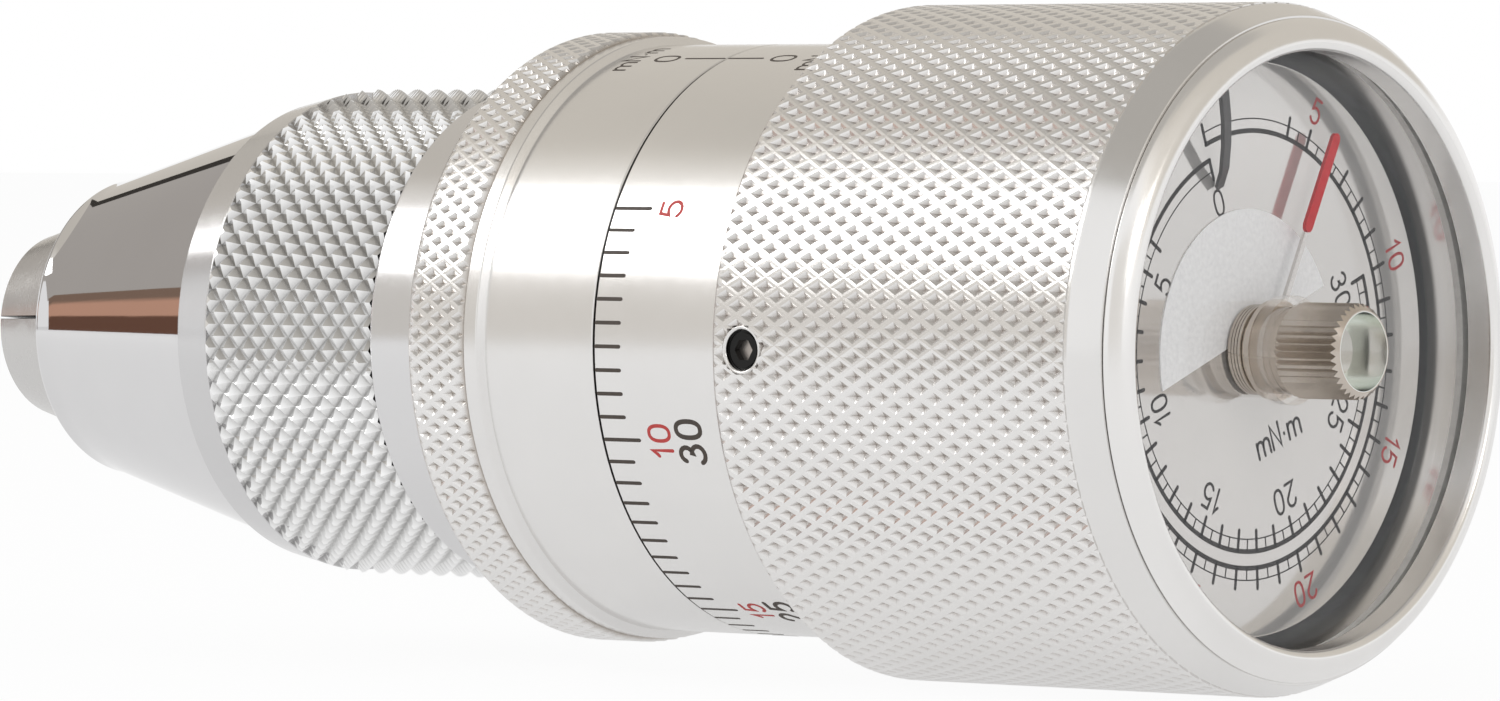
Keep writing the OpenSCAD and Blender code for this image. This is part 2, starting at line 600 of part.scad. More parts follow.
// reset knob, its stem and the red hand turn as one
module reset_knob() color("tan") difference() {
    union() {
        bar(x_hand_top, knob_start - x_hand_top + eps, knob_neck_r);
        intersection() {
            translate([knob_start, 0, 0]) rotate([0, 90, 0]) linear_extrude(height = knob_len)
                polygon([for (i = [0 : 2 * knob_flutes - 1])
                    (knob_r - (i % 2 == 0 ? 0 : flute_depth)) * [cos(180 * i / knob_flutes),
                        sin(180 * i / knob_flutes)]]);
            turned([[0, knob_start - knob_chamfer / 2],
                [knob_r - knob_chamfer, knob_start - knob_chamfer / 2],
                [knob_r + eps, knob_start + knob_chamfer / 2 + eps],
                [knob_r + eps, x_knob_end - knob_chamfer - eps],
                [knob_r - knob_chamfer - eps, x_knob_end + eps], [0, x_knob_end + eps]]);
        }
    }
    bar(x_cup, knob_cup_depth + eps, knob_cup_d / 2);
    bar(x_hand_top - eps, x_cup - knob_floor_t - x_hand_top + eps, stem_r + seat);
    bar(x_cup - knob_floor_t - eps, knob_floor_t + 2 * eps, knob_screw_r + seat);
}
module knob_stem() color("silver") difference() {
    union() {
        bar(x_stem, stem_flange_t, washer_r);
        bar(x_stem, x_cup - knob_floor_t - x_stem, stem_r);
    }
    bar(x_cup - knob_floor_t - knob_cup_depth, knob_cup_depth + eps, knob_screw_r + seat);
}
module knob_screw() color("darkgray") difference() {
    union() {
        bar(x_cup, knob_head_t, knob_head_r);
        bar(x_cup - knob_floor_t - knob_cup_depth + edge, knob_floor_t + knob_cup_depth, knob_screw_r);
    }
    translate([x_cup + knob_head_t - knob_slot_deep, -knob_slot_w / 2, -knob_head_r - eps])
        cube([knob_slot_deep + eps, knob_slot_w, 2 * knob_head_r + 2 * eps]);
}
x_washer = x_stem + stem_flange_t + washer_gap;
washer_step = (x_hand - x_washer) / washer_count;
module spring_washers() color("gray") for (i = [0 : washer_count - 1])
    ring(x_washer + i * washer_step, washer_t, washer_r, stem_r + seat);
module hand_hub() color("silver") union() {
    ring(x_hand, hand_hub_t, hand_hub_r, stem_r + seat);
    ring(x_hand_top - hand_flange_t, hand_flange_t, hand_flange_r, stem_r + seat);
}
hand_reach = dial_r - hand_short;
blade_start = hand_reach * (1 - blade_share);
hand_at = zero_deg - hand_deg;
module hand_neck() color("silver") around(hand_at) difference() {
    translate([x_hand, -neck_w / 2, 0]) cube([hand_t, neck_w, blade_start]);
    bar(x_hand - eps, hand_t + 2 * eps, hand_hub_r);
}
module hand_blade() color("red") around(hand_at) union() {
    translate([x_hand, -blade_w / 2, blade_start + blade_w / 2])
        cube([hand_t, blade_w, hand_reach - blade_start - blade_w]);
    for (z = [blade_start + blade_w / 2, hand_reach - blade_w / 2])
        translate([x_hand, 0, z]) rotate([0, 90, 0]) cylinder(h = hand_t, r = blade_w / 2, $fn = 32);
}

jaw_1();
jaw_2();
jaw_3();
jaw_carrier();
nose_hood();
chuck_sleeve();
drive_nut();
chuck_body();
sleeve_snap_ring();
chuck_flange();
front_ring();
spindle();
spindle_nut();
front_spacer();
middle_spacer();
bearing_inner_rings();
bearing_outer_rings();
bearing_balls();
spring_collet();
measuring_spring();
spring_post();
scale_drum();
bulkhead();
bulkhead_ring();
grip_housing();
clamp_screws();
dial_hub();
dial_screws();
dial_plate();
dial_label();
index_pointer();
crystal_gasket();
crystal();
crystal_bushing();
bezel();
reset_knob();
knob_stem();
knob_screw();
spring_washers();
hand_hub();
hand_neck();
hand_blade();
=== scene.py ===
"""Looks of a hand-held dial torque tester: keyless chuck, scale drum, knurled grip and glazed dial.

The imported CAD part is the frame. Lengths are millimetres, which mesh() turns into metres. The stage
alone is laid out in metres. The spindle axis is X, and angles round it start at the top and run
towards -Y, so a point at radius r and angle a is (x, -r sin a, r cos a)."""

import math

import bpy
import numpy as np
from bpy.props import FloatProperty, FloatVectorProperty, IntProperty, PointerProperty
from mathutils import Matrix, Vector


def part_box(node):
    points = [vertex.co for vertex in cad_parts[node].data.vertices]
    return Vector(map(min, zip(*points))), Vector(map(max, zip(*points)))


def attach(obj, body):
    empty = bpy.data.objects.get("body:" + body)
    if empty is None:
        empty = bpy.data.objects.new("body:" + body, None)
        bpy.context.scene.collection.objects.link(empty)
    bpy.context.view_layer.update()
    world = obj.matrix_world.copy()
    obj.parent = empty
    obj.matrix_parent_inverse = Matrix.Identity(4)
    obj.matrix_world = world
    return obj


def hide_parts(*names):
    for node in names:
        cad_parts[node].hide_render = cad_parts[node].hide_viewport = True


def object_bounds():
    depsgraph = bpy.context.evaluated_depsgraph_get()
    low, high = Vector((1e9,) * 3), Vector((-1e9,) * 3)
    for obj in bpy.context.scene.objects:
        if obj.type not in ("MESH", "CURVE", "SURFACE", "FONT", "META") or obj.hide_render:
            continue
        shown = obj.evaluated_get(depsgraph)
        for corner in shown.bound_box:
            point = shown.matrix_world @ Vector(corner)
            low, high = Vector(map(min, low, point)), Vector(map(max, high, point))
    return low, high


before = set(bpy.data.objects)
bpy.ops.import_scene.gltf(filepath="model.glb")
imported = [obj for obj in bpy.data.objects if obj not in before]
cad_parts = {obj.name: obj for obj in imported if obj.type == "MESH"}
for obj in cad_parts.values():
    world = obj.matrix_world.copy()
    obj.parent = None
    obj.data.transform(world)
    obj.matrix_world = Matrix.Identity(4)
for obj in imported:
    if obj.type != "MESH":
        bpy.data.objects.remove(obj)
CAD_BOX = [list(map(float, corner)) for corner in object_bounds()]

bl_info = {
    "name": "Torque tester looks",
    "version": (1, 0, 0),
    "blender": (4, 5, 0),
    "location": "3D View > Sidebar > Torque tester",
    "description": "Builds the surfaces and finishes of a dial torque tester round its CAD frame",
    "category": "Object",
}

MM = 0.001
FULL_TURN = 2 * math.pi


def span(node):
    """Lowest and highest station of a CAD node along the axis, and its outer radius."""
    low, high = (np.array(corner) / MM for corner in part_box(node))
    return low[0], high[0], high[2]


def add(name, data):
    """Links a new object to the scene."""
    piece = bpy.data.objects.new(name, data)
    bpy.context.scene.collection.objects.link(piece)
    return piece


# ---- meshes

def mesh(name, points, faces, finish, part, normals=None):
    """Makes a piece of points (n, 3) and a list of face arrays, (m, 3) or (m, 4). part is (body,
    slot, replaced nodes ...); its slot is not used. With normals (n, 3), one for each point,
    the piece is smooth, and without them every face is flat."""
    body, slot, *nodes = part
    data = bpy.data.meshes.new(name)
    loops = np.concatenate([f.ravel() for f in faces]).astype(np.int32)
    sizes = np.concatenate([np.full(len(f), f.shape[1]) for f in faces])
    data.vertices.add(len(points))
    data.vertices.foreach_set("co", (np.asarray(points) * MM).ravel().astype(np.float32))
    data.loops.add(len(loops))
    data.loops.foreach_set("vertex_index", loops)
    data.polygons.add(len(sizes))
    data.polygons.foreach_set("loop_start", (np.cumsum(sizes) - sizes).astype(np.int32))
    data.polygons.foreach_set("use_smooth", np.full(len(sizes), normals is not None))
    data.update(calc_edges=True)
    data.validate()
    if normals is not None:
        data.normals_split_custom_set(np.asarray(normals, dtype=float)[loops].tolist())
    data.materials.append(finishes()[finish])
    piece = add(name, data)
    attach(piece, body)
    if nodes:
        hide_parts(*nodes)


def round_axis(x, r, a):
    """Points at station x, radius r and angle a."""
    x, r, a = np.broadcast_arrays(x, r, a)
    return np.stack([x, -r * np.sin(a), r * np.cos(a)], axis=-1)


def grid_quads(rows, columns, first=0, close_rows=False):
    """Corner numbers of the quads of a grid of points that is numbered row by row from first. The
    last column joins the first, and with close_rows the last row joins the first too."""
    i = np.arange(rows if close_rows else rows - 1)[:, None]
    k = np.arange(columns)[None]
    i2, k2 = (i + 1) % rows, (k + 1) % columns
    corners = [i * columns + k, i2 * columns + k, i2 * columns + k2, i * columns + k2]
    return first + np.stack(corners, -1).reshape(-1, 4)


def eased(section, steps):
    """Rounds the corners of a closed section. section is rows of (x, r, ease), with ease the length
    cut off each side at the corner. Each corner becomes the curve (1-t)^2 A + 2t(1-t) P + t^2 B
    through the two cut points A and B, at steps values of t. Returns points (n, 2) and their
    outward normals, for a section that runs anticlockwise with x to the right and r up."""
    least_ease, most_of_side = 0.004, 0.48
    section = np.asarray(section, float)
    p, ease = section[:, :2], np.maximum(section[:, 2], least_ease)
    x, r = p.T
    if np.sum(x * np.roll(r, -1) - np.roll(x, -1) * r) < 0:
        p, ease = p[::-1], ease[::-1]
    back, ahead = np.roll(p, 1, 0) - p, np.roll(p, -1, 0) - p
    long_back, long_ahead = np.linalg.norm(back, axis=1), np.linalg.norm(ahead, axis=1)
    cut = np.minimum(ease, most_of_side * np.minimum(long_back, long_ahead))
    a = p + back * (cut / long_back)[:, None]
    b = p + ahead * (cut / long_ahead)[:, None]
    t = np.linspace(0, 1, steps)[None, :, None]
    a, b, p = a[:, None], b[:, None], p[:, None]
    curve = (1 - t) ** 2 * a + 2 * t * (1 - t) * p + t**2 * b
    slope = 2 * (1 - t) * (p - a) + 2 * t * (b - p)
    normal = np.stack([slope[..., 1], -slope[..., 0]], -1)
    normal /= np.linalg.norm(normal, axis=-1, keepdims=True)
    return curve.reshape(-1, 2), normal.reshape(-1, 2)


def lathe(name, section, finish, part, turns=192, steps=5, place=round_axis, shift=0.0):
    """A turned ring or solid: place puts each point (x, r) of the eased section at every angle a,
    and shift moves it along X. Where the section meets the axis its points become one pole each."""
    curve, normal = eased(section, steps)
    a = np.arange(turns) * FULL_TURN / turns
    points = place(curve[:, :1], curve[:, 1:], a).reshape(-1, 3) + [shift, 0, 0]
    normals = place(normal[:, :1], normal[:, 1:], a).reshape(-1, 3)
    number = np.arange(len(points)).reshape(len(curve), turns)
    pole = curve[:, 1] < 0.01
    number[pole] = number[pole][:, :1]
    normals[number[pole][:, 0]] = np.sign(normal[pole][:, :1]) * [1, 0, 0]
    quads = number.ravel()[grid_quads(len(curve), turns, close_rows=True)]
    low, high = quads[:, 0] == quads[:, 3], quads[:, 1] == quads[:, 2]
    faces = [quads[~low & ~high], quads[low & ~high][:, :3], quads[high & ~low][:, [0, 1, 3]]]
    faces = [f for f in faces if len(f)]
    kept, order = np.unique(np.concatenate([f.ravel() for f in faces]), return_inverse=True)
    cuts = np.cumsum([f.size for f in faces])[:-1]
    faces = [new.reshape(f.shape) for new, f in zip(np.split(order, cuts), faces)]
    mesh(name, points[kept], faces, finish, part, normals[kept])


def knurl(name, start, end, crest, teeth, inner, front, back, profile, finish, part,
          sunk=False, holes=()):
    """A diamond knurl on a ring with the bore radius inner. teeth is (count, pitch, depth). With
    u = count a / 2 pi + x / pitch and v the same with - x / pitch, the height is the smaller of two
    groove profiles of u and of v, so grooves run along whole u and whole v. profile gives heights
    from the groove's bottom to the tooth's middle at equal steps. With sunk the height is 1 less
    that, so ridges cross between pits. front and back are (length, drop) of the end chamfers.
    holes are (x, angle, reach, floor): within reach of there the surface is at the radius floor.
    Quads are split along the nearer groove."""
    count, pitch, depth = teeth
    fine = 2 * (len(profile) - 1)
    columns = count * fine
    rows = int(round((end - start) / (pitch / fine))) + 1
    x = np.linspace(start, end, rows)[:, None]
    j = np.arange(rows)[:, None]
    k = np.arange(columns)[None]
    a = k * FULL_TURN / columns
    heights = np.concatenate([profile, profile[-2:0:-1]])
    h = np.minimum(heights[(k + j) % fine], heights[(k - j) % fine])
    h = 1 - h if sunk else h
    radius = crest - depth * (1 - h)
    for inside, (length, drop) in ((x - start, front), (end - x, back)):
        radius = np.minimum(radius, crest - drop * (1 - np.clip(inside / length, 0, 1)))
    for hole_x, angle, reach, floor in holes:
        across = (a - math.radians(angle) + np.pi) % FULL_TURN - np.pi
        radius = np.where(np.hypot(x - hole_x, across * crest) < reach, floor, radius)
    points = round_axis(x, radius, a).reshape(-1, 3)
    rims = round_axis(np.array([[end], [start]]), inner, a).reshape(-1, 3)
    quads = grid_quads(rows, columns)
    i, c = np.divmod(np.arange(len(quads)), columns)
    u, v = (i + c + 1) % fine, (c - i) % fine
    along_v = (np.minimum(v, fine - v) < np.minimum(u, fine - u))[:, None]
    p, q, s, w = quads.T
    first = np.where(along_v, np.stack([p, q, s], 1), np.stack([p, q, w], 1))
    second = np.where(along_v, np.stack([p, s, w], 1), np.stack([q, s, w], 1))
    # The ends and the bore join four rows: the last, the two rims and the first.
    joined = np.array([rows - 1, rows, rows + 1, 0])[:, None] * columns + k
    faces = [np.concatenate([first, second]), joined.ravel()[grid_quads(4, columns)]]
    mesh(name, np.concatenate([points, rims]), faces, finish, part)


def ribbon(line, width, closed=False):
    """Left and right edges of a stroke of even width along a polyline (n, 2): each point moved half
    the width along the mean normal, lengthened at a corner to keep the width. An open stroke gets
    round ends: extra stations w sin t / 2 past each end, of width w cos t."""
    line = np.asarray(line, float)
    step = np.roll(line, -1, 0) - line if closed else np.diff(line, axis=0)
    unit = step / np.linalg.norm(step, axis=1, keepdims=True)
    before = np.roll(unit, 1, 0) if closed else np.vstack([unit[:1], unit])
    after = unit if closed else np.vstack([unit, unit[-1:]])
    mean = before + after
    mean /= np.maximum(np.linalg.norm(mean, axis=1, keepdims=True), 1e-6)
    half = width / 2 / np.maximum(np.sum(mean * after, 1), 0.5)
    side = np.stack([-mean[:, 1], mean[:, 0]], 1)
    if not closed:
        t = np.array([0.97, 0.8, 0.5]) * np.pi / 2
        out, thin = np.sin(t)[:, None] * width / 2, np.cos(t) * width / 2
        line = np.vstack([line[0] - unit[0] * out, line, (line[-1] + unit[-1] * out)[::-1]])
        half = np.concatenate([thin, half, thin[::-1]])
        side = np.vstack([np.repeat(side[:1], 3, 0), side, np.repeat(side[-1:], 3, 0)])
    return line + side * half[:, None], line - side * half[:, None], closed


def inlay(name, strokes, place, lift, finish, part):
    """Thin closed slabs, one for each stroke: its outline lifted by lift above the surface and sunk
    as much below it. place turns flat points (n, 2) and a height into points round the axis."""
    points, faces, first = [], [], 0
    for left, right, closed in strokes:
        corners = ((right, lift), (left, lift), (left, -lift), (right, -lift))
        points.append(np.stack([place(*corner) for corner in corners], 1).reshape(-1, 3))
        faces.append(grid_quads(len(left), 4, first, close_rows=closed))
        if not closed:
            cap = first + np.arange(4)
            faces.append(np.array([cap, cap[::-1] + 4 * (len(left) - 1)]))
        first += 4 * len(left)
    mesh(name, np.concatenate(points), faces, finish, part)


def bow(cx, cy, rx, ry, start, stop, count):
    """Points on an ellipse between two angles in degrees."""
    t = np.radians(np.linspace(start, stop, count))
    return np.stack([cx + rx * np.cos(t), cy + ry * np.sin(t)], 1)


def numerals():
    """Centre lines of the characters in a box 1 high, each as (width, [polyline, ...]). The 0 is a
    closed curve, with x and y by cos t and sin t, both to a power below 1."""
    t = np.radians(np.arange(0, 360, 12))
    x, y = (np.sign(v) * np.abs(v) ** 0.82 for v in (np.cos(t), np.sin(t)))
    oval = np.stack([0.3 + 0.27 * x, 0.5 + 0.5 * y], 1)
    one = [[0.02, 0.72], [0.1, 0.8], [0.22, 1.0], [0.22, 0.0]]
    two = np.vstack([bow(0.29, 0.72, 0.27, 0.28, 170, -25, 14),
                     [[0.3, 0.33], [0.02, 0.0], [0.58, 0.0]]])
    three = np.vstack([bow(0.27, 0.75, 0.24, 0.25, 160, -80, 12),
                       bow(0.27, 0.27, 0.29, 0.27, 80, -160, 14)])
    five = np.vstack([[[0.52, 1.0], [0.12, 1.0], [0.06, 0.55]],
                      bow(0.28, 0.32, 0.29, 0.32, 125, -150, 18)])
    em = [[[0.0, 0.0], [0.0, 0.66]]]
    for left in (0.0, 0.42):
        arch = bow(left + 0.21, 0.45, 0.2, 0.21, 165, 15, 9)
        em.append(np.vstack([[[left, 0.4]], arch, [[left + 0.42, 0.0]]]))
    en = [[0.0, 0.0], [0.0, 1.0], [0.56, 0.0], [0.56, 1.0]]
    dot = [[0.1, 0.36], [0.1, 0.4]]
    return {"0": (0.6, [oval]), "1": (0.3, [one]), "2": (0.6, [two]), "3": (0.58, [three]),
            "5": (0.6, [five]), "N": (0.56, [en]), "m": (0.84, em), ".": (0.2, [dot])}


def lettered(text, height, gap, weight, centre, turn, stretch=1.0):
    """Strokes of a short text: its characters side by side, gap apart, centred, stretch times as
    wide as drawn, turned by turn degrees anticlockwise and moved to centre."""
    glyphs = numerals()
    total = sum(glyphs[c][0] for c in text) + gap * (len(text) - 1)
    angle = math.radians(turn)
    spin = np.array([[math.cos(angle), math.sin(angle)], [-math.sin(angle), math.cos(angle)]])
    strokes, pen = [], -total / 2
    for c in text:
        width, lines = glyphs[c]
        for line in lines:
            flat = np.add(line, [pen, -0.5]) * [height * stretch, height]
            strokes.append(ribbon(flat @ spin + centre, weight, closed=c == "0"))
        pen += width + gap
    return strokes


# ---- materials

class Wire:
    """One socket of a node. Arithmetic on it adds Math nodes, also with numbers on the left."""

    def __init__(self, nodes, socket):
        self.nodes, self.socket = nodes, socket

    def math(self, operation, a, b):
        return self.nodes.node("Math", {"operation": operation}, a, b)

    def __add__(self, b): return self.math("ADD", self, b)
    def __radd__(self, a): return self.math("ADD", a, self)
    def __sub__(self, b): return self.math("SUBTRACT", self, b)
    def __rsub__(self, a): return self.math("SUBTRACT", a, self)
    def __mul__(self, b): return self.math("MULTIPLY", self, b)
    def __rmul__(self, a): return self.math("MULTIPLY", a, self)
    def __truediv__(self, b): return self.math("DIVIDE", self, b)
    def __pow__(self, b): return self.math("POWER", self, b)
    def __lt__(self, b): return self.math("LESS_THAN", self, b)
    def __gt__(self, b): return self.math("GREATER_THAN", self, b)

    def clamp(self, low=0.0):
        return self.math("MINIMUM", self.math("MAXIMUM", self, low), 1.0)


class Nodes:
    """The nodes of one tree."""

    def __init__(self, tree):
        self.tree = tree

    def supply(self, socket, value):
        """Links a wire to a socket, or sets a plain value on it."""
        if isinstance(value, Wire):
            self.tree.links.new(value.socket, socket)
        else:
            socket.default_value = value

    def node(self, kind, settings, *values, out=0, **named):
        """Adds a shader node, sets its settings, then supplies its inputs in order and by name."""
        node = self.tree.nodes.new("ShaderNode" + kind)
        for key, value in settings.items():
            setattr(node, key, value)
        for key, value in (*enumerate(values), *named.items()):
            self.supply(node.inputs[key], value)
        return Wire(self, node.outputs[out])

    def mix(self, factor, a, b):
        """A Mix node from colour a to colour b, each three numbers or a wire."""
        node = self.node("Mix", {"data_type": "RGBA"}, factor).socket.node
        colours = [s for s in (*node.inputs, *node.outputs) if s.type == "RGBA"]
        for socket, value in zip(colours, (a, b)):
            self.supply(socket, value if isinstance(value, Wire) else (*value, 1))
        return Wire(self, colours[-1])

    def ray(self, kind):
        """1 for one kind of ray, else 0."""
        return self.node("LightPath", {}, out="Is %s Ray" % kind)

    def seen(self):
        """1 for a ray of the camera, of gloss or through glass, else 0."""
        camera = self.ray("Camera")
        gloss = camera.math("MAXIMUM", camera, self.ray("Glossy"))
        return gloss.math("MAXIMUM", gloss, self.ray("Transmission"))


class Recipe(Nodes):
    """A material: one Principled shader with fixed values on its own sockets, and the nodes that
    vary it over the surface."""

    def __init__(self, name, colour, **fixed):
        self.material = bpy.data.materials.new(name)
        self.material.use_nodes = True
        super().__init__(self.material.node_tree)
        self.shader = self.tree.nodes["Principled BSDF"]
        self.shader.inputs["Base Color"].default_value = (*colour, 1)
        for key, value in fixed.items():
            socket = key.replace("_", " ").title().replace("Ior", "IOR")
            self.shader.inputs[socket].default_value = value
        self.material.diffuse_color = (*colour, 1)

    def place(self):
        return self.node("TexCoord", {}, out="Object")

    def axis(self, letter):
        """One coordinate of the surface point, in millimetres."""
        return self.node("SeparateXYZ", {}, self.place(), out=letter) / MM

    def radius(self):
        """Distance of the surface point from the axis: the root of y^2 + z^2."""
        y, z = self.axis("Y"), self.axis("Z")
        return (y * y + z * z) ** 0.5

    def noise(self, scale, detail=2.0, rough=0.5):
        """Even noise of about 0 to 1 with scale features in a metre."""
        return self.node("TexNoise", {}, Vector=self.place(), Scale=scale, Detail=detail,
                         Roughness=rough)

    def turning(self, per_mm):
        """Turning lines: noise that changes along the axis alone."""
        return self.lines(self.axis("X") * per_mm)

    def lines(self, along, rough=0.6):
        """Noise that changes with one wire alone."""
        return self.node("TexNoise", {"noise_dimensions": "1D"}, W=along, Scale=1.0,
                         Detail=3.0, Roughness=rough)

    def feed(self, **wires):
        for key, wire in wires.items():
            self.supply(self.shader.inputs[key.replace("_", " ")], wire)

    def bump(self, height, distance):
        """Ruffles the surface by height, a wire of about 0 to 1, times distance."""
        self.feed(Normal=self.node("Bump", {}, Strength=1.0, Distance=distance * MM, Height=height))


def shade(colour, factor):
    return tuple(min(1.0, factor * v) for v in colour)


def metal(name, colour, rough, spread, per_mm=0.0, lines=1.0, height=0.0006):
    """A metal: its roughness wanders by spread, faint stains tint it and a bump of height ruffles
    it. Where per_mm is above 0 the bump is mostly that many turning lines in a millimetre."""
    recipe = Recipe(name, colour, metallic=1.0, roughness=rough)
    cloud, rub = recipe.noise(90.0, 3.0, 0.6), recipe.noise(900.0)
    recipe.feed(Base_Color=recipe.mix(cloud.clamp(), shade(colour, 0.93), colour))
    if per_mm:
        groove = recipe.turning(per_mm)
        recipe.feed(Roughness=(groove * spread + rub * spread + (rough - spread)).clamp(0.02))
        recipe.bump(groove * lines + rub * (0.15 * lines), height)
    else:
        recipe.feed(Roughness=(rub * spread + cloud * spread + (rough - spread)).clamp(0.01))
        recipe.bump(rub, height)


def knurled(name, colour, rough, node, depth, grime_and_shade):
    """The knurled metal of a CAD node: its grooves or pits, by their depth below the node's outer
    radius, turn dull and dark. The darkening is partly grime and partly painted shade in the hollows."""
    recipe = Recipe(name, colour, metallic=1.0, roughness=rough)
    deep = ((span(node)[2] - recipe.radius()) / depth).clamp()
    cloud, speck = recipe.noise(250.0, 3.0, 0.6), recipe.noise(2200.0, 3.0, 0.6)
    share = (deep**1.5 * (cloud * 0.5 + speck * 0.6 + 0.45)).clamp()
    # Grime and painted shade: deeper points in the pits and grooves take the darker colour.
    recipe.feed(Base_Color=recipe.mix(share, colour, grime_and_shade),
                Roughness=share * 0.15 + speck * 0.06 + (rough - 0.03))
    recipe.bump(speck, 0.0006)


def split_steel(colour):
    """The jaws' ground steel, dark where two jaws meet: within 0.14 mm of a half plane at the three
    angles a between them, where y cos a + z sin a is small and z cos a - y sin a is not."""
    recipe = Recipe("split steel", colour, metallic=1.0, roughness=0.26)
    y, z = recipe.axis("Y"), recipe.axis("Z")
    dark = 0.0
    for a in map(math.radians, (84.4, 204.4, 324.4)):
        off = y * math.cos(a) + z * math.sin(a)
        dark = (off * off < 0.02) * (z * math.cos(a) - y * math.sin(a) > 0.3) + dark
    rub, groove = recipe.noise(900.0), recipe.turning(18.0)
    recipe.feed(Base_Color=recipe.mix(dark.clamp(), colour, (0.05, 0.045, 0.04)),
                Roughness=rub * 0.06 + groove * 0.06 + 0.2)
    recipe.bump(groove, 0.0008)


def grimy_flange(colour):
    """The chuck flange's brushed chrome, with painted shade on its front face for the shadow in the
    gap in front of it.
    """
    recipe = Recipe("flange chrome", colour, metallic=1.0, roughness=0.16)
    rub, groove = recipe.noise(900.0), recipe.turning(13.0)
    front = recipe.axis("X") < span("chuck_flange")[0] + 0.03
    # Painted shade: the front face takes a near-black colour for the shadow in the gap in front of
    # it.
    recipe.feed(Base_Color=recipe.mix(front, colour, (0.03, 0.027, 0.025)),
                Roughness=(rub * 0.05 + groove * 0.05 + 0.1 + front * 0.3).clamp())
    recipe.bump(groove, 0.0006)


def enamel(name, colour, rough, coat=0.0, grain=1400.0, height=0.004, gloss=0.5):
    """Paint, ink, paper or rubber: a fine grain in its surface and its shade."""
    recipe = Recipe(name, colour, roughness=rough, coat_weight=coat, coat_roughness=0.08,
                    specular_ior_level=gloss)
    fine = recipe.noise(grain, 3.0, 0.6)
    recipe.feed(Base_Color=recipe.mix(fine.clamp(), shade(colour, 0.8), shade(colour, 1.15)))
    recipe.bump(fine, height)


def cupped_nickel(colour):
    """The knob's nickel, a little rubbed, with a bright turned cup inside its end."""
    recipe = Recipe("cupped nickel", colour, metallic=1.0, roughness=0.17)
    radius, cup_radius, cup_floor = recipe.radius(), 3.0, 129.0
    cup = (radius < cup_radius) * (recipe.axis("X") > cup_floor)
    cloud = recipe.noise(300.0, 3.0, 0.6)
    outside = recipe.mix(cloud.clamp(), shade(colour, 0.9), colour)
    recipe.feed(Base_Color=recipe.mix(cup, outside, (0.86, 0.88, 0.85)),
                Roughness=cloud * 0.1 + 0.12)
    recipe.bump(recipe.lines(radius * 9.0, 0.5) * cup + cloud * 0.3, 0.0008)


def clear(name, tint, least, most):
    """Thin clear glass or plastic: a mirror whose alpha is what such a pane reflects, from least
    seen square on to most along the surface."""
    recipe = Recipe(name, tint, metallic=1.0, roughness=0.03)
    glance = recipe.node("LayerWeight", {}, Blend=0.5, out="Facing")
    dust = recipe.noise(2500.0, 2.0, 0.7)
    recipe.feed(Alpha=(glance**3 * most + dust * 0.01 + least).clamp(),
                Roughness=dust * 0.03 + 0.02)


def dial_lacquer(colour):
    """The dial's lacquer over metal, a little hazy."""
    recipe = Recipe("dial lacquer", colour, metallic=0.62, roughness=0.1, coat_weight=0.25,
                    coat_roughness=0.04)
    haze = recipe.noise(40.0, 3.0, 0.6)
    recipe.feed(Base_Color=recipe.mix(haze.clamp(), shade(colour, 0.96), colour),
                Roughness=recipe.noise(1800.0) * 0.04 + 0.07)


# ---- sizes and colours

def a_count(name, description, default):
    return IntProperty(name=name, description=description, default=default, min=12)


def a_number(name, description, default, **more):
    return FloatProperty(name=name, description=description, default=default, **more)


def a_length(name, description, default):
    """A length, its default in millimetres."""
    return a_number(name, description, default * MM, unit="LENGTH")


def a_colour(name, description, default):
    return FloatVectorProperty(name=name, description=description, default=default,
                               subtype="COLOR", size=3, min=0, max=1)


class KnurlSizes(bpy.types.PropertyGroup):
    """Teeth of the three knurls."""
    grip_count: a_count("Grip teeth", "Teeth round the grip", 111)
    grip_pitch: a_length("Grip pitch", "Length of a tooth of the grip", 2.5)
    grip_depth: a_length("Grip depth", "Depth of the grip's knurl", 0.34)
    ring_count: a_count("Ring teeth", "Teeth round the front ring", 114)
    ring_pitch: a_length("Ring pitch", "Length of a tooth of the front ring", 2.1)
    ring_depth: a_length("Ring depth", "Depth of the front ring's knurl", 0.32)
    sleeve_count: a_count("Sleeve teeth", "Teeth round the chuck's sleeve", 64)
    sleeve_pitch: a_length("Sleeve pitch", "Length of a tooth of the sleeve", 2.12)
    sleeve_depth: a_length("Sleeve depth", "Depth of the sleeve's knurl", 0.72)

    def teeth(self, which):
        """Count, pitch and depth of the grip, ring or sleeve, in millimetres."""
        count, pitch, depth = (getattr(self, which + end) for end in ("_count", "_pitch", "_depth"))
        return count, pitch / MM, depth / MM


class ScaleSizes(bpy.types.PropertyGroup):
    """Marks of the drum and the dial."""
    degrees_per_unit: a_number("Degrees a unit", "Turn of the spindle for one mN.m", 9.0)
    drum_zero: a_number("Drum zero", "Direction of the drum's zero line from the top", 18.1)
    dial_zero: a_number("Dial zero", "Direction of the dial's zero line from the top", 20.5)
    tick: a_length("Tick", "Length of a drum tick", 2.45)
    long_tick: a_length("Long tick", "Length of a drum tick at a fifth unit", 3.55)
    tick_width: a_length("Tick width", "Width of a drum tick", 0.3)
    digit: a_length("Digits", "Height of the drum's numbers", 1.9)


class FinishColours(bpy.types.PropertyGroup):
    """Colours of the finishes."""
    aluminium: a_colour("Aluminium", "Satin turned aluminium", (0.82, 0.81, 0.80))
    chrome: a_colour("Chrome", "Bright plating of the chuck", (0.71, 0.705, 0.71))
    steel: a_colour("Steel", "Ground steel", (0.60, 0.59, 0.58))
    dial: a_colour("Dial", "Lacquered dial", (0.72, 0.70, 0.68))
    nickel: a_colour("Nickel", "Knob and washers", (0.60, 0.54, 0.48))
    red: a_colour("Red", "Memory hand", (0.56, 0.008, 0.014))
    black: a_colour("Black", "Dial print and index", (0.022, 0.018, 0.018))


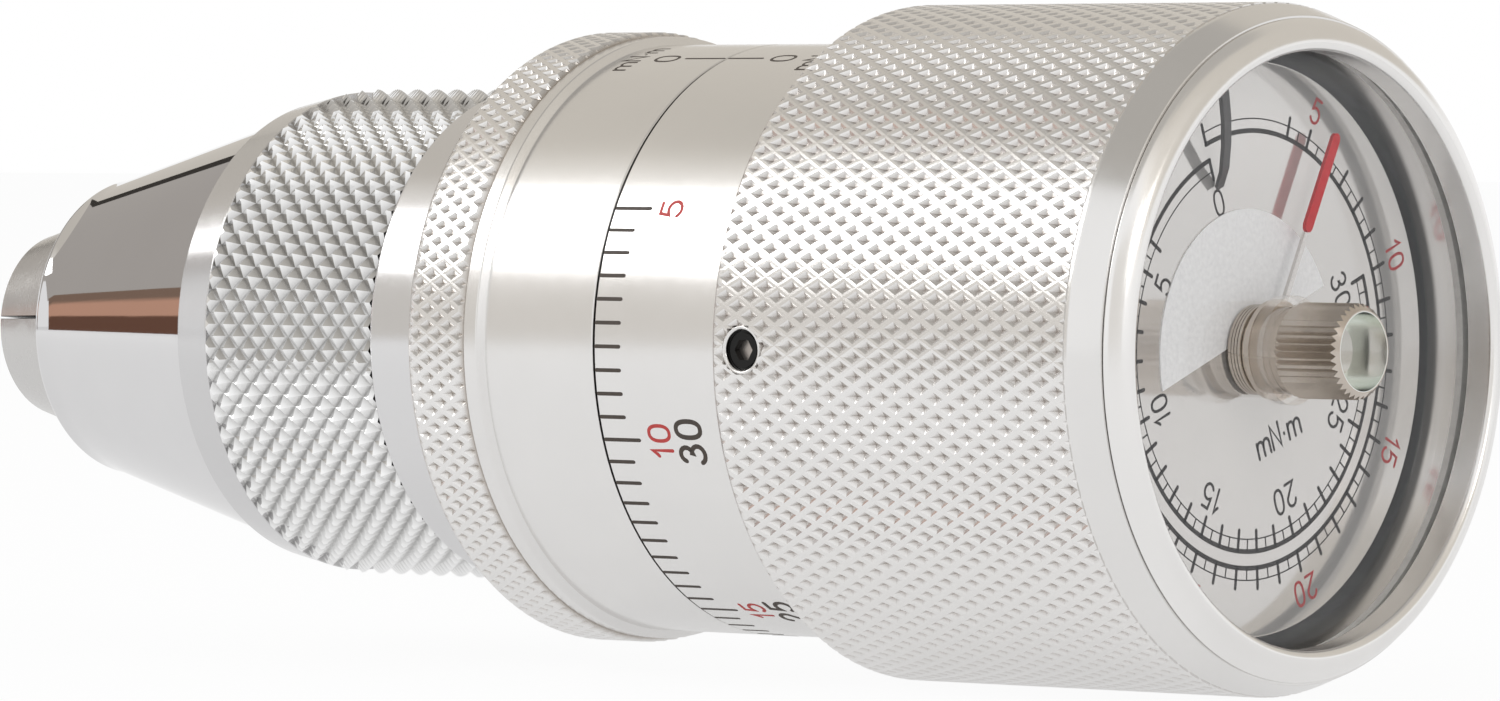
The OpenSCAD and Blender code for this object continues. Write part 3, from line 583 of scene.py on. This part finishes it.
class StageSizes(bpy.types.PropertyGroup):
    """Camera and light."""
    lens: a_number("Lens", "Focal length on a 36 mm sensor", 219.958, unit="CAMERA")
    softbox: a_number("Softbox", "Power of the softbox", 2.6, unit="POWER")
    ambient: a_number("Ambient", "Strength of the even light", 0.62)


GROUPS = {"tester_knurl": KnurlSizes, "tester_scale": ScaleSizes, "tester_finish": FinishColours,
          "tester_stage": StageSizes}


def finishes():
    """The materials by name. The first call makes the finishes."""
    made = bpy.data.materials
    if "turned aluminium" in made:
        return made
    c = bpy.context.scene.tester_finish
    alu, chrome, steel, dial, nickel, red, black = map(
        tuple, (c.aluminium, c.chrome, c.steel, c.dial, c.nickel, c.red, c.black))
    metal("turned aluminium", alu, 0.2, 0.05, per_mm=11.0, height=0.0011)
    metal("faced aluminium", alu, 0.16, 0.05, per_mm=8.0)
    metal("polished aluminium", shade(alu, 1.08), 0.22, 0.06, per_mm=16.0, lines=0.8, height=0.0007)
    metal("inner aluminium", shade(alu, 0.85), 0.3, 0.06, per_mm=9.0)
    metal("mirror chrome", chrome, 0.035, 0.02, height=0.00004)
    metal("brushed chrome", shade(chrome, 0.92), 0.16, 0.04, per_mm=13.0)
    metal("ground steel", steel, 0.25, 0.08, per_mm=12.0)
    metal("spring steel", (0.42, 0.42, 0.45), 0.22, 0.06)
    metal("bearing steel", (0.72, 0.72, 0.73), 0.12, 0.05)
    metal("brass", (0.76, 0.58, 0.30), 0.22, 0.06, per_mm=10.0)
    metal("nickel", nickel, 0.17, 0.07, height=0.0004)
    metal("hand silver", (0.66, 0.63, 0.61), 0.22, 0.05)
    metal("black steel", (0.03, 0.03, 0.03), 0.3, 0.08)
    # The last colour of each knurl is grime and painted shade for its pits and grooves.
    knurled("knurled grip", alu, 0.2, "grip_housing", 0.34, (0.46, 0.42, 0.39))
    knurled("knurled ring", alu, 0.2, "front_ring", 0.32, (0.48, 0.44, 0.40))
    knurled("knurled chrome", (0.95, 0.95, 0.95), 0.05, "chuck_sleeve", 1.1, (0.22, 0.215, 0.205))
    split_steel(steel)
    # Flange chrome with painted shade for the gap in front of it.
    grimy_flange(chrome)
    cupped_nickel(nickel)
    dial_lacquer(dial)
    enamel("black ink", black, 0.5, gloss=0.2)
    enamel("black filling", (0.06, 0.045, 0.035), 0.6)
    enamel("red ink", (0.42, 0.03, 0.035), 0.5, gloss=0.2)
    enamel("red filling", (0.55, 0.05, 0.045), 0.55)
    enamel("red enamel", red, 0.4, gloss=0.1)
    enamel("black enamel", black, 0.4, coat=0.2)
    enamel("gasket rubber", (0.68, 0.67, 0.65), 0.5)
    enamel("label paper", (0.92, 0.92, 0.93), 0.85, grain=2600.0, height=0.01)
    clear("clear crystal", (0.96, 0.98, 1.0), 0.005, 0.4)
    clear("clear plastic", (0.84, 0.80, 0.76), 0.12, 0.7)
    return made


# ---- stage, in metres

def level(x, y, z):
    """Corners of a level rectangle over two ranges x and y at the height z."""
    return [(x[0], y[0], z), (x[1], y[0], z), (x[1], y[1], z), (x[0], y[1], z)]


def facing(centre, half_width, half_height):
    """Corners of a rectangle about centre that faces the origin."""
    centre = np.array(centre)
    across = np.cross([0, 0, 1.0], centre)
    across /= np.linalg.norm(across)
    up = np.cross(centre, across)
    up /= np.linalg.norm(up)
    return [tuple(centre + a * across * half_width + b * up * half_height)
            for a, b in ((-1, -1), (1, -1), (1, 1), (-1, 1))]


def board(name, corners, material):
    """A flat piece of the stage."""
    data = bpy.data.meshes.new(name)
    data.from_pydata(corners, [], [range(len(corners))])
    data.materials.append(material)
    piece = add(name, data)
    return piece


def lamp(name, place, size, power, colour):
    """A rectangular lamp that faces the origin."""
    data = bpy.data.lights.new(name, "AREA")
    data.shape, data.size, data.size_y, data.energy, data.color = "RECTANGLE", *size, power, colour
    piece = add(name, data)
    piece.location = place
    piece.rotation_euler = Vector(place).to_track_quat("Z", "Y").to_euler()


def glow(colour, other=None, start=0.0, end=1.0):
    """A glow of one colour, or one that turns to other where y goes from start to end."""
    recipe = Recipe("glow", (0, 0, 0), specular_ior_level=0.0, emission_color=(*colour, 1),
                    emission_strength=1.0)
    if other:
        share = ((recipe.axis("Y") * MM - start) / (end - start)).clamp()
        recipe.feed(Emission_Color=recipe.mix(share, colour, other))
    return recipe.material


def copper():
    """Dark brown, light copper over it and a duller brown on top, all with ragged edges: the brown
    thing that the hood mirrors."""
    recipe = Recipe("copper card", (0, 0, 0), specular_ior_level=0.0, emission_strength=1.0)
    height = recipe.axis("Z") * MM + recipe.lines(recipe.axis("Y") * 0.35) * 0.05
    light = recipe.mix(((height - 0.16) / 0.02).clamp(), (0.60, 0.34, 0.24), (0.24, 0.16, 0.12))
    recipe.feed(Emission_Color=recipe.mix(height < 0.088, light, (0.16, 0.08, 0.055)))
    return recipe.material


def floor_white():
    """White paint that the camera sees mostly as pure white, so a faint shadow stays."""
    recipe = Recipe("floor white", (0.9, 0.9, 0.9), roughness=0.9)
    share = recipe.seen() * 0.6 + recipe.ray("Camera") * 0.34
    paint, white = Wire(recipe, recipe.shader.outputs[0]), recipe.node("Emission", {})
    mixed = recipe.node("MixShader", {}, share, paint, white)
    recipe.supply(recipe.tree.nodes["Material Output"].inputs[0], mixed)
    return recipe.material


def studio(ambient):
    """A world that is white where the camera, gloss or glass looks, and else an even light."""
    world = bpy.data.worlds.new("studio")
    world.use_nodes = True
    nodes = Nodes(world.node_tree)
    even, white = (nodes.node("Background", {}, (1, 1, 1, 1), strength)
                   for strength in (ambient, 1.0))
    mixed = nodes.node("MixShader", {}, nodes.seen(), even, white)
    nodes.supply(nodes.tree.nodes["World Output"].inputs[0], mixed)
    return world


# ---- pieces

BAND = 23.05  # radius of the drum and of the band in front of it
SHAFT_BORE, GRIP_BORE = 4.03, 22.8  # radii
SCREWS = (90, 210, 330)  # angles of the clamp screws
PROUD = 0.012  # height of a print or filling over the surface
PITS, TEETH = [0, 0.03, 0.55, 1.0], [0, 0.33, 0.68, 1.0]  # knurl profiles

# The body, slot and replaced node of pieces that share them.
SLEEVE = ("chuck_sleeve", "bright_chrome", "chuck_sleeve")
RING = ("spindle", "satin_aluminium", "front_ring")
GRIP = ("housing", "satin_aluminium", "grip_housing")


class Maker:
    """What the operators share: each is one undo step."""
    bl_options = {"REGISTER", "UNDO"}


def dress(finish, *nodes):
    """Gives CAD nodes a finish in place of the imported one."""
    for node in nodes:
        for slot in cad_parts[node].material_slots:
            slot.material = finishes()[finish]


class TESTER_OT_stage(Maker, bpy.types.Operator):
    """Camera, floor, softbox, reflecting cards and even light"""
    bl_idname = "tester.stage"
    bl_label = "Stage"

    def execute(self, context):
        scene, sizes = context.scene, context.scene.tester_stage
        # The photo's camera, as fitted to the turned edges.
        camera = add("camera", bpy.data.cameras.new("camera"))
        camera.data.sensor_width, camera.data.lens, camera.data.clip_end = 36.0, sizes.lens, 20.0
        camera.location = (0.53259, -0.55185, 0.0180)
        camera.rotation_euler = (math.radians(88.4904), 0, math.radians(39.6906))
        scene.camera = camera
        scene.view_settings.view_transform = "Standard"
        board("floor", level((-4, 4), (-4, 4), CAD_BOX[0][2] - 0.02 * MM), floor_white())
        ceiling = glow((0.66, 0.62, 0.56), (1.05, 1.02, 0.97), -0.1, -0.31)
        for name, corners, material in (
                ("ceiling_card", level((-2.2, 2.2), (-0.31, 2.2), 0.5), ceiling),
                ("left_card", facing((-0.95, 0.03, 0.365), 0.43, 0.175), glow((0.47, 0.44, 0.41))),
                ("dark_edge_card", facing((-0.93, 0.50, 0.36), 0.045, 0.2),
                 glow((0.05, 0.045, 0.04))),
                ("copper_card", facing((-0.95, -0.25, 0.078), 0.09, 0.118), copper()),
                ("wall_card", facing((-0.96, -1.152, 0.285), 0.55, 0.33), glow((0.73, 0.70, 0.66))),
                ("room_card", facing((1.5, -1.35, 0.55), 0.8, 0.55), glow((0.80, 0.78, 0.75))),
                ("zenith_card", level((-0.25, 0.3), (-0.38, 0.3), 0.46), glow((0.48, 0.46, 0.43)))):
            card = board(name, corners, material)
            card.visible_camera = card.visible_diffuse = False
            card.visible_shadow = card.visible_transmission = False
        lamp("softbox", (-0.538, -0.458, 0.475), (0.72, 0.30), sizes.softbox, (1.0, 1.0, 1.0))
        lamp("dial_fill", (1.1, -0.15, 0.55), (0.5, 0.5), 2.3, (1.0, 0.98, 0.96))
        scene.world = studio(sizes.ambient)
        return {"FINISHED"}


class TESTER_OT_chuck(Maker, bpy.types.Operator):
    """Jaws, polished hood, knurled sleeve and flange of the keyless chuck"""
    bl_idname = "tester.chuck"
    bl_label = "Chuck"

    def execute(self, context):
        dress("split steel", "jaw_1", "jaw_2", "jaw_3")
        x_hood, x_skirt, r_hood = span("nose_hood")
        x_collar, x_end, crest = span("chuck_sleeve")
        nose, skirt, skirt_bore, throat = 2.0, 17.4, 16.4, 16.17
        # The hood's cone: its slope, and its radius at X = 0 and at the mouth.
        taper, r_origin = math.tan(math.radians(15.2)), 7.861
        mouth = r_origin + x_hood * taper
        lathe("hood", [
            (x_hood + 0.5, mouth + 0.12, 0.1), (x_hood, mouth + 0.9, 0.5),
            (x_hood + 0.32, mouth + 2.05, 1.1),
            (x_hood + nose, r_hood - (x_collar - x_hood - nose) * taper, 1.4),
            (x_collar, r_hood, 0.12), (x_collar, skirt, 0.01), (x_skirt, skirt, 0.05),
            (x_skirt, skirt_bore, 0.05), (x_collar, skirt_bore, 0.02), (x_collar, throat, 0.02)],
            "mirror chrome", ("chuck_sleeve", "mirror_chrome", "nose_hood"), 288, 9)
        teeth = context.scene.tester_knurl.teeth("sleeve")
        root = crest - teeth[2]
        x_knurl = x_collar + 4.2
        collar_bore, rear_bore, body_bore = 17.44, 15.56, 16.43
        lathe("sleeve_collar", [
            (x_collar + 0.02, collar_bore, 0.02), (x_collar + 0.02, crest - 1.0, 0.18),
            (x_knurl - 0.4, crest - 0.25, 0.1), (x_knurl - 0.4, root - 0.6, 0.02),
            (x_knurl - 1.0, root - 0.6, 0.02), (x_knurl - 1.0, collar_bore, 0.02)],
            "brushed chrome", SLEEVE)
        knurl("sleeve_knurl", x_knurl - 0.4, x_end, crest, teeth, root - 0.7, (0.7, 0.25),
              (0.4, 0.15), TEETH, "knurled chrome", SLEEVE)
        x_step = x_knurl + 5.6
        lathe("sleeve_bore", [
            (x_knurl - 0.9, root - 0.65, 0.02), (x_end - 0.02, root - 0.65, 0.05),
            (x_end - 0.02, rear_bore, 0.05), (x_step, rear_bore, 0.02), (x_step, body_bore, 0.02),
            (x_knurl - 0.9, body_bore, 0.02)], "brushed chrome", SLEEVE)
        x0, x1, r = span("chuck_flange")
        x_boss, boss_bore = span("chuck_body")[1], 10.03
        lathe("flange", [
            (x0, boss_bore, 0.02), (x0, r, 0.35), (x1, r, 0.05), (x1, SHAFT_BORE, 0.02),
            (x_boss, SHAFT_BORE, 0.02), (x_boss, boss_bore, 0.02)],
            "flange chrome", ("spindle", "bright_chrome", "chuck_flange"))
        return {"FINISHED"}


class TESTER_OT_front_ring(Maker, bpy.types.Operator):
    """Front ring: fine knurl, plain land and the smooth band up to the seam"""
    bl_idname = "tester.front_ring"
    bl_label = "Front ring"

    def execute(self, context):
        x0, x1, crest = span("front_ring")
        x_land, x_band, x_web = x0 + 5.6, x0 + 7.2, x0 + 4
        land, band = crest - 0.35, crest - 1.0
        teeth = context.scene.tester_knurl.teeth("ring")
        knurl("ring_knurl", x0, x_land, crest, teeth, crest - 1.2, (0.5, 0.3), (0.35, 0.3), PITS,
              "knurled ring", RING, sunk=True)
        lathe("band", [
            (x0 + 0.02, SHAFT_BORE, 0.02), (x0 + 0.02, crest - 1.1, 0.05),
            (x_land - 0.02, crest - 1.1, 0.02), (x_land - 0.02, land, 0.03),
            (x_band - 0.35, land, 0.1), (x_band + 0.02, band, 0.05), (x1, band, 0.12),
            (x1, band - 2, 0.05), (x_web, band - 2, 0.3), (x_web, SHAFT_BORE, 0.02)],
            "turned aluminium", RING, 256)
        return {"FINISHED"}


class TESTER_OT_grip(Maker, bpy.types.Operator):
    """Scale drum, knurled grip housing and its black clamp screws"""
    bl_idname = "tester.grip"
    bl_label = "Grip and drum"

    def execute(self, context):
        x_grip, x_end, crest = span("grip_housing")
        x_rim, x_screw = x_end - 2.7, x_grip + 3.0
        self.drum(x_grip)
        teeth = context.scene.tester_knurl.teeth("grip")
        knurl("grip_knurl", x_grip, x_rim, crest, teeth, crest - 1.0, (0.5, 0.4), (0.4, 0.0), PITS,
              "knurled grip", GRIP, sunk=True, holes=[(x_screw, a, 1.7, 23.9) for a in SCREWS])
        for number, angle in enumerate(SCREWS, 1):
            self.seat("screw_seat_%d" % number, x_screw, math.radians(angle))
        self.shell(x_grip, x_rim, x_end, crest)
        dress("black steel", "clamp_screws")
        return {"FINISHED"}

    def drum(self, x_grip):
        """The drum, its collar inside the grip, and the front bearing's seat in its web."""
        x0, x1, _ = span("scale_drum")
        x_back, x_hub, x_seat = x0 + 10.7, x0 + 11.1, x0 + 3.7
        cavity, collar, collar_bore, hub, seat, lip = 19.65, 22.78, 20.98, 13.5, 11.02, 9.4
        lathe("drum", [
            (x0, cavity, 0.05), (x0, BAND, 0.12), (x_grip + 0.02, BAND, 0.02),
            (x_grip + 0.02, collar, 0.02), (x1, collar, 0.1), (x1, collar_bore, 0.1),
            (x_grip, collar_bore, 0.3), (x_back, hub, 0.3), (x_hub, 11.1, 0.02), (x_hub, lip, 0.05),
            (x_back, lip, 0.02), (x_back, seat, 0.02), (x_seat, seat, 0.1), (x_seat, hub, 0.1),
            (x0 + 0.4, cavity, 0.02)],
            "turned aluminium", ("housing", "satin_aluminium", "scale_drum"), 256)

    def seat(self, name, x, angle):
        """The turned edge of a clamp screw's hole: a ring round a spoke. The points (s, h) of its
        section stand at all angles b round the spoke: h from the axis, s sin b across, s cos b
        along."""
        sin, cos = math.sin(angle), math.cos(angle)

        def spoke(s, h, b):
            across, up = s * np.sin(b), h + 0 * b
            return np.stack([s * np.cos(b), -up * sin - across * cos, up * cos - across * sin], -1)

        section = [(1.53, 24.2, 0.02), (1.53, 25.8, 0.06), (1.63, 25.93, 0.05), (1.78, 25.95, 0.06),
                   (1.95, 25.5, 0.1), (1.95, 24.2, 0.02)]
        lathe(name, section, "faced aluminium", GRIP, 40, 4, spoke, x)

    def shell(self, x_grip, x_rim, x_end, crest):
        """The grip under its knurl: a groove for the screws' holes, the rim, the glazing's
        counterbore and the groove of the bulkhead's ring."""
        x_ring, x_ring_end, _ = span("bulkhead_ring")
        x_front, x_ring, x_ring_end = x_grip + 0.02, x_ring - 0.05, x_ring_end + 0.05
        x_counter = span("crystal_gasket")[0]
        low, high = x_grip + 0.9, x_grip + 5.1
        under, groove, counterbore = crest - 0.9, 23.3, 24.02
        lathe("grip_shell", [
            (x_front, GRIP_BORE, 0.1), (x_front, under, 0.1), (low, under, 0.02),
            (low, groove, 0.02), (high, groove, 0.02), (high, under, 0.02),
            (x_rim - 0.02, under, 0.02), (x_rim - 0.02, crest - 0.1, 0.05),
            (x_rim + 0.4, crest - 0.12, 0.25),
            (x_end, crest - 1.0, 0.06), (x_end, counterbore, 0.04), (x_counter, counterbore, 0.02),
            (x_counter, GRIP_BORE, 0.02), (x_ring_end, GRIP_BORE, 0.02), (x_ring_end, groove, 0.02),
            (x_ring, groove, 0.02), (x_ring, GRIP_BORE, 0.02)], "turned aluminium", GRIP, 256)


class TESTER_OT_drum_scale(Maker, bpy.types.Operator):
    """Filled lines and numbers on the drum, and the zero mark on the band in front of it"""
    bl_idname = "tester.drum_scale"
    bl_label = "Drum scale"

    def execute(self, context):
        s = context.scene.tester_scale
        x_seam, x_band = span("scale_drum")[0], span("front_ring")[1]
        width, height, off_seam = s.tick_width / MM, s.digit / MM, 0.16
        arc = math.radians(1) * BAND

        def place(flat, lift):
            """Flat x is the station and flat y the way up round the drum from the zero line."""
            a = math.radians(s.drum_zero) - flat[:, 1] / BAND
            return round_axis(flat[:, 0], BAND + lift, a)

        def way_down(unit):
            return -s.degrees_per_unit * unit * arc

        def tick(x, end, y, share=1.0):
            return ribbon([(x, y), (end, y)], width * share)

        def zero(x, x_unit):
            """The 0 and the unit beside a zero line."""
            return (lettered("0", height * 1.1, 0.2, 0.24, (x, 0), 90, 1.2)
                    + lettered("mN.m", height * 0.9, 0.2, 0.2, (x_unit, 0.4), 90, 1.1))

        x_tick = x_seam + off_seam
        ticks = []
        for u in np.arange(5, 35.5, 0.5):
            long = (s.long_tick if u % 5 == 0 else s.tick) / MM
            ticks.append(tick(x_tick, x_tick + long - width / 2, way_down(u)))
        ticks.append(tick(x_tick, x_seam + 3.5, 0, 0.8))
        red, black = [], []
        for u in range(5, 31, 5):
            at_red, at_black = (x_seam + 5.65, way_down(u)), (x_seam + 8.6, way_down(40 - u))
            red += lettered(str(u), height * 1.05, 0.24, 0.29, at_red, 90, 1.12)
            black += lettered(str(u), height * 1.25, 0.24, 0.38, at_black, 90)
        black += zero(x_seam + 5.6, x_seam + 8.9)
        front = [tick(x_band - off_seam, x_band - 4.0, 0, 0.8), *zero(x_band - 5.9, x_band - 9.2)]
        for name, strokes, body, colour in (
                ("drum_ticks", ticks, "housing", "black"),
                ("drum_red_numbers", red, "housing", "red"),
                ("drum_black_numbers", black, "housing", "black"),
                ("band_zero_mark", front, "spindle", "black")):
            inlay(name, strokes, place, PROUD, colour + " filling", (body, colour + "_enamel"))
        return {"FINISHED"}


class TESTER_OT_dial(Maker, bpy.types.Operator):
    """Dial plate, white label and the two printed scales"""
    bl_idname = "tester.dial"
    bl_label = "Dial"

    def execute(self, context):
        s = context.scene.tester_scale
        x0, x1, edge = span("dial_plate")
        lathe("dial", [(x0, 0, 0.004), (x1, 0, 0.004), (x1, edge, 0.15), (x0, edge, 0.15)],
              "dial lacquer", ("spindle", "dial_face", "dial_plate"), 256)
        dress("label paper", "dial_label")

        def place(flat, lift):
            """Flat y points from the dial's middle to the zero line, flat x to the right of it."""
            r, a = np.hypot(*flat.T), np.arctan2(flat[:, 0], flat[:, 1])
            return round_axis(x1 + lift, r, math.radians(s.dial_zero) - a)

        def spoke(way, unit, inner, outer, width):
            a = math.radians(way * unit * s.degrees_per_unit)
            return ribbon([(r * math.sin(a), r * math.cos(a)) for r in (inner, outer)], width)

        def hoop(way, radius, width):
            a = np.radians(way * s.degrees_per_unit * np.linspace(0, 30, 160))
            return ribbon(np.stack([radius * np.sin(a), radius * np.cos(a)], 1), width)

        def numbers(way, r):
            """5 to 30 with their feet towards the middle."""
            strokes = []
            for unit in range(5, 31, 5):
                turn = way * unit * s.degrees_per_unit
                a = math.radians(turn)
                centre = (r * math.sin(a), r * math.cos(a))
                strokes += lettered(str(unit), 1.85, 0.24, 0.23, centre, -turn)
            return strokes

        # Each scale: its way round, and the radii of its thick and thin line, of the foot of a mark
        # and of the end of a whole and of a half unit's mark.
        scales = [(1, 16.39, 17.3, 16.4, 17.95, 17.28), (-1, 15.14, 14.22, 15.1, 13.6, 14.24)]
        black = []
        for way, thick, thin, *_ in scales:
            black += [hoop(way, thick, 0.36), hoop(way, thin, 0.1)]
        for half in (0, *range(8, 61)):
            for way, _, _, foot, long, short in scales:
                end, width = (short, 0.13) if half % 2 else (long, 0.3)
                black.append(spoke(way, half / 2, foot, end, width))
        black += numbers(-1, 12.05)
        black += lettered("0", 1.9, 0.2, 0.2, (0, 11.75), 0)
        black += lettered("mN.m", 1.85, 0.2, 0.24, (0.9, -7.2), 0)
        for colour, strokes in (("black", black), ("red", numbers(1, 19.55))):
            inlay("dial_%s_print" % colour, strokes, place, PROUD, colour + " ink",
                  ("spindle", colour + "_enamel"))
        return {"FINISHED"}


class TESTER_OT_hand(Maker, bpy.types.Operator):
    """Red memory hand, its washers and the black index that dips to the dial"""
    bl_idname = "tester.hand"
    bl_label = "Hand and index"

    def execute(self, context):
        low, high = (np.array(corner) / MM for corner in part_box("hand_blade"))
        cad_width, width = 1.2, 0.92
        middle, size = (low + high) / 2, high - low
        radius, reach = math.hypot(*middle[1:]), math.hypot(*(size[1:] - cad_width)) / 2
        line = [middle[1:] * (1 + way * reach / radius) for way in (-1, 1)]

        def place(flat, lift):
            """Flat x and y are the frame's Y and Z, at the middle of the CAD blade's thickness."""
            return np.column_stack([np.full(len(flat), middle[0] + lift), flat])

        inlay("red_blade", [ribbon(line, width)], place, size[0] / 2, "red enamel",
              ("memory_hand", "red_enamel", "hand_blade"))
        dress("hand silver", "hand_neck")
        dress("nickel", "hand_hub", "spring_washers")
        dress("black enamel", "index_pointer")
        return {"FINISHED"}


class TESTER_OT_knob(Maker, bpy.types.Operator):
    """Fluted reset knob with its cup and slotted screw"""
    bl_idname = "tester.knob"
    bl_label = "Reset knob"

    def execute(self, context):
        dress("cupped nickel", "reset_knob")
        dress("nickel", "knob_stem")
        dress("hand silver", "knob_screw")
        return {"FINISHED"}


class TESTER_OT_crystal(Maker, bpy.types.Operator):
    """Bezel, crystal, its clear bushing and the grey gasket"""
    bl_idname = "tester.crystal"
    bl_label = "Crystal and bezel"

    def execute(self, context):
        x_lip, x_top, r = span("bezel")
        x_end = span("grip_housing")[1]
        inner, seat = 22.35, 24.0
        rise, width = x_top - x_end, r - inner
        # The lip's crest, in shares of its width outwards and of its rise.
        crest = [(0, 0.72), (0.07, 0.9), (0.2, 1), (0.38, 0.98), (0.6, 0.83), (0.8, 0.56),
                 (0.94, 0.26), (1, 0.02)]
        lip = [(x_end + rise * high, inner + width * out, 0.5) for out, high in crest]
        lathe("bezel_lip", [(x_lip, inner, 0.05), *lip, (x_end, seat, 0.02), (x_lip, seat, 0.02)],
              "polished aluminium", ("housing", "polished_aluminium", "bezel"), 288)
        x0, x1, edge = span("crystal")
        hole = 4.1
        lathe("crystal_pane", [
            (x0, hole, 0.08), (x0, edge, 0.05), (x1, edge, 0.05), (x1, hole, 0.08)],
            "clear crystal", ("housing", "clear_crystal", "crystal"), 256)
        dress("clear plastic", "crystal_bushing")
        dress("gasket rubber", "crystal_gasket")
        return {"FINISHED"}


class TESTER_OT_inside(Maker, bpy.types.Operator):
    """Finishes of the spindle, bearings, spring and chuck parts inside"""
    bl_idname = "tester.inside"
    bl_label = "Inside"

    def execute(self, context):
        dress("ground steel", "spindle", "chuck_body", "jaw_carrier", "spindle_nut", "front_spacer",
              "middle_spacer", "dial_screws")
        dress("bearing steel", "bearing_inner_rings", "bearing_outer_rings", "bearing_balls",
              "spring_post")
        dress("spring steel", "measuring_spring", "sleeve_snap_ring", "bulkhead_ring")
        dress("brass", "drive_nut", "spring_collet", "dial_hub")
        dress("inner aluminium", "bulkhead")
        return {"FINISHED"}


STEPS = Maker.__subclasses__()  # the operators in the order of this file


class TESTER_PT_panel(bpy.types.Panel):
    """Lists the pieces and their sizes"""
    bl_label = "Torque tester"
    bl_idname = "TESTER_PT_panel"
    bl_space_type = "VIEW_3D"
    bl_region_type = "UI"
    bl_category = "Torque tester"

    def draw(self, context):
        for step in STEPS:
            self.layout.operator(step.bl_idname)
        for group in GROUPS:
            box = self.layout.box()
            settings = getattr(context.scene, group)
            for key in settings.__annotations__:
                box.prop(settings, key)


def register():
    for kind in (*GROUPS.values(), *STEPS, TESTER_PT_panel):
        bpy.utils.register_class(kind)
    for name, group in GROUPS.items():
        setattr(bpy.types.Scene, name, PointerProperty(type=group))


def unregister():
    for name in GROUPS:
        delattr(bpy.types.Scene, name)
    for kind in (TESTER_PT_panel, *reversed(STEPS), *GROUPS.values()):
        bpy.utils.unregister_class(kind)


def main():
    register()
    for step in STEPS:
        category, name = step.bl_idname.split(".")
        getattr(getattr(bpy.ops, category), name)()


if __name__ == "__main__":
    main()
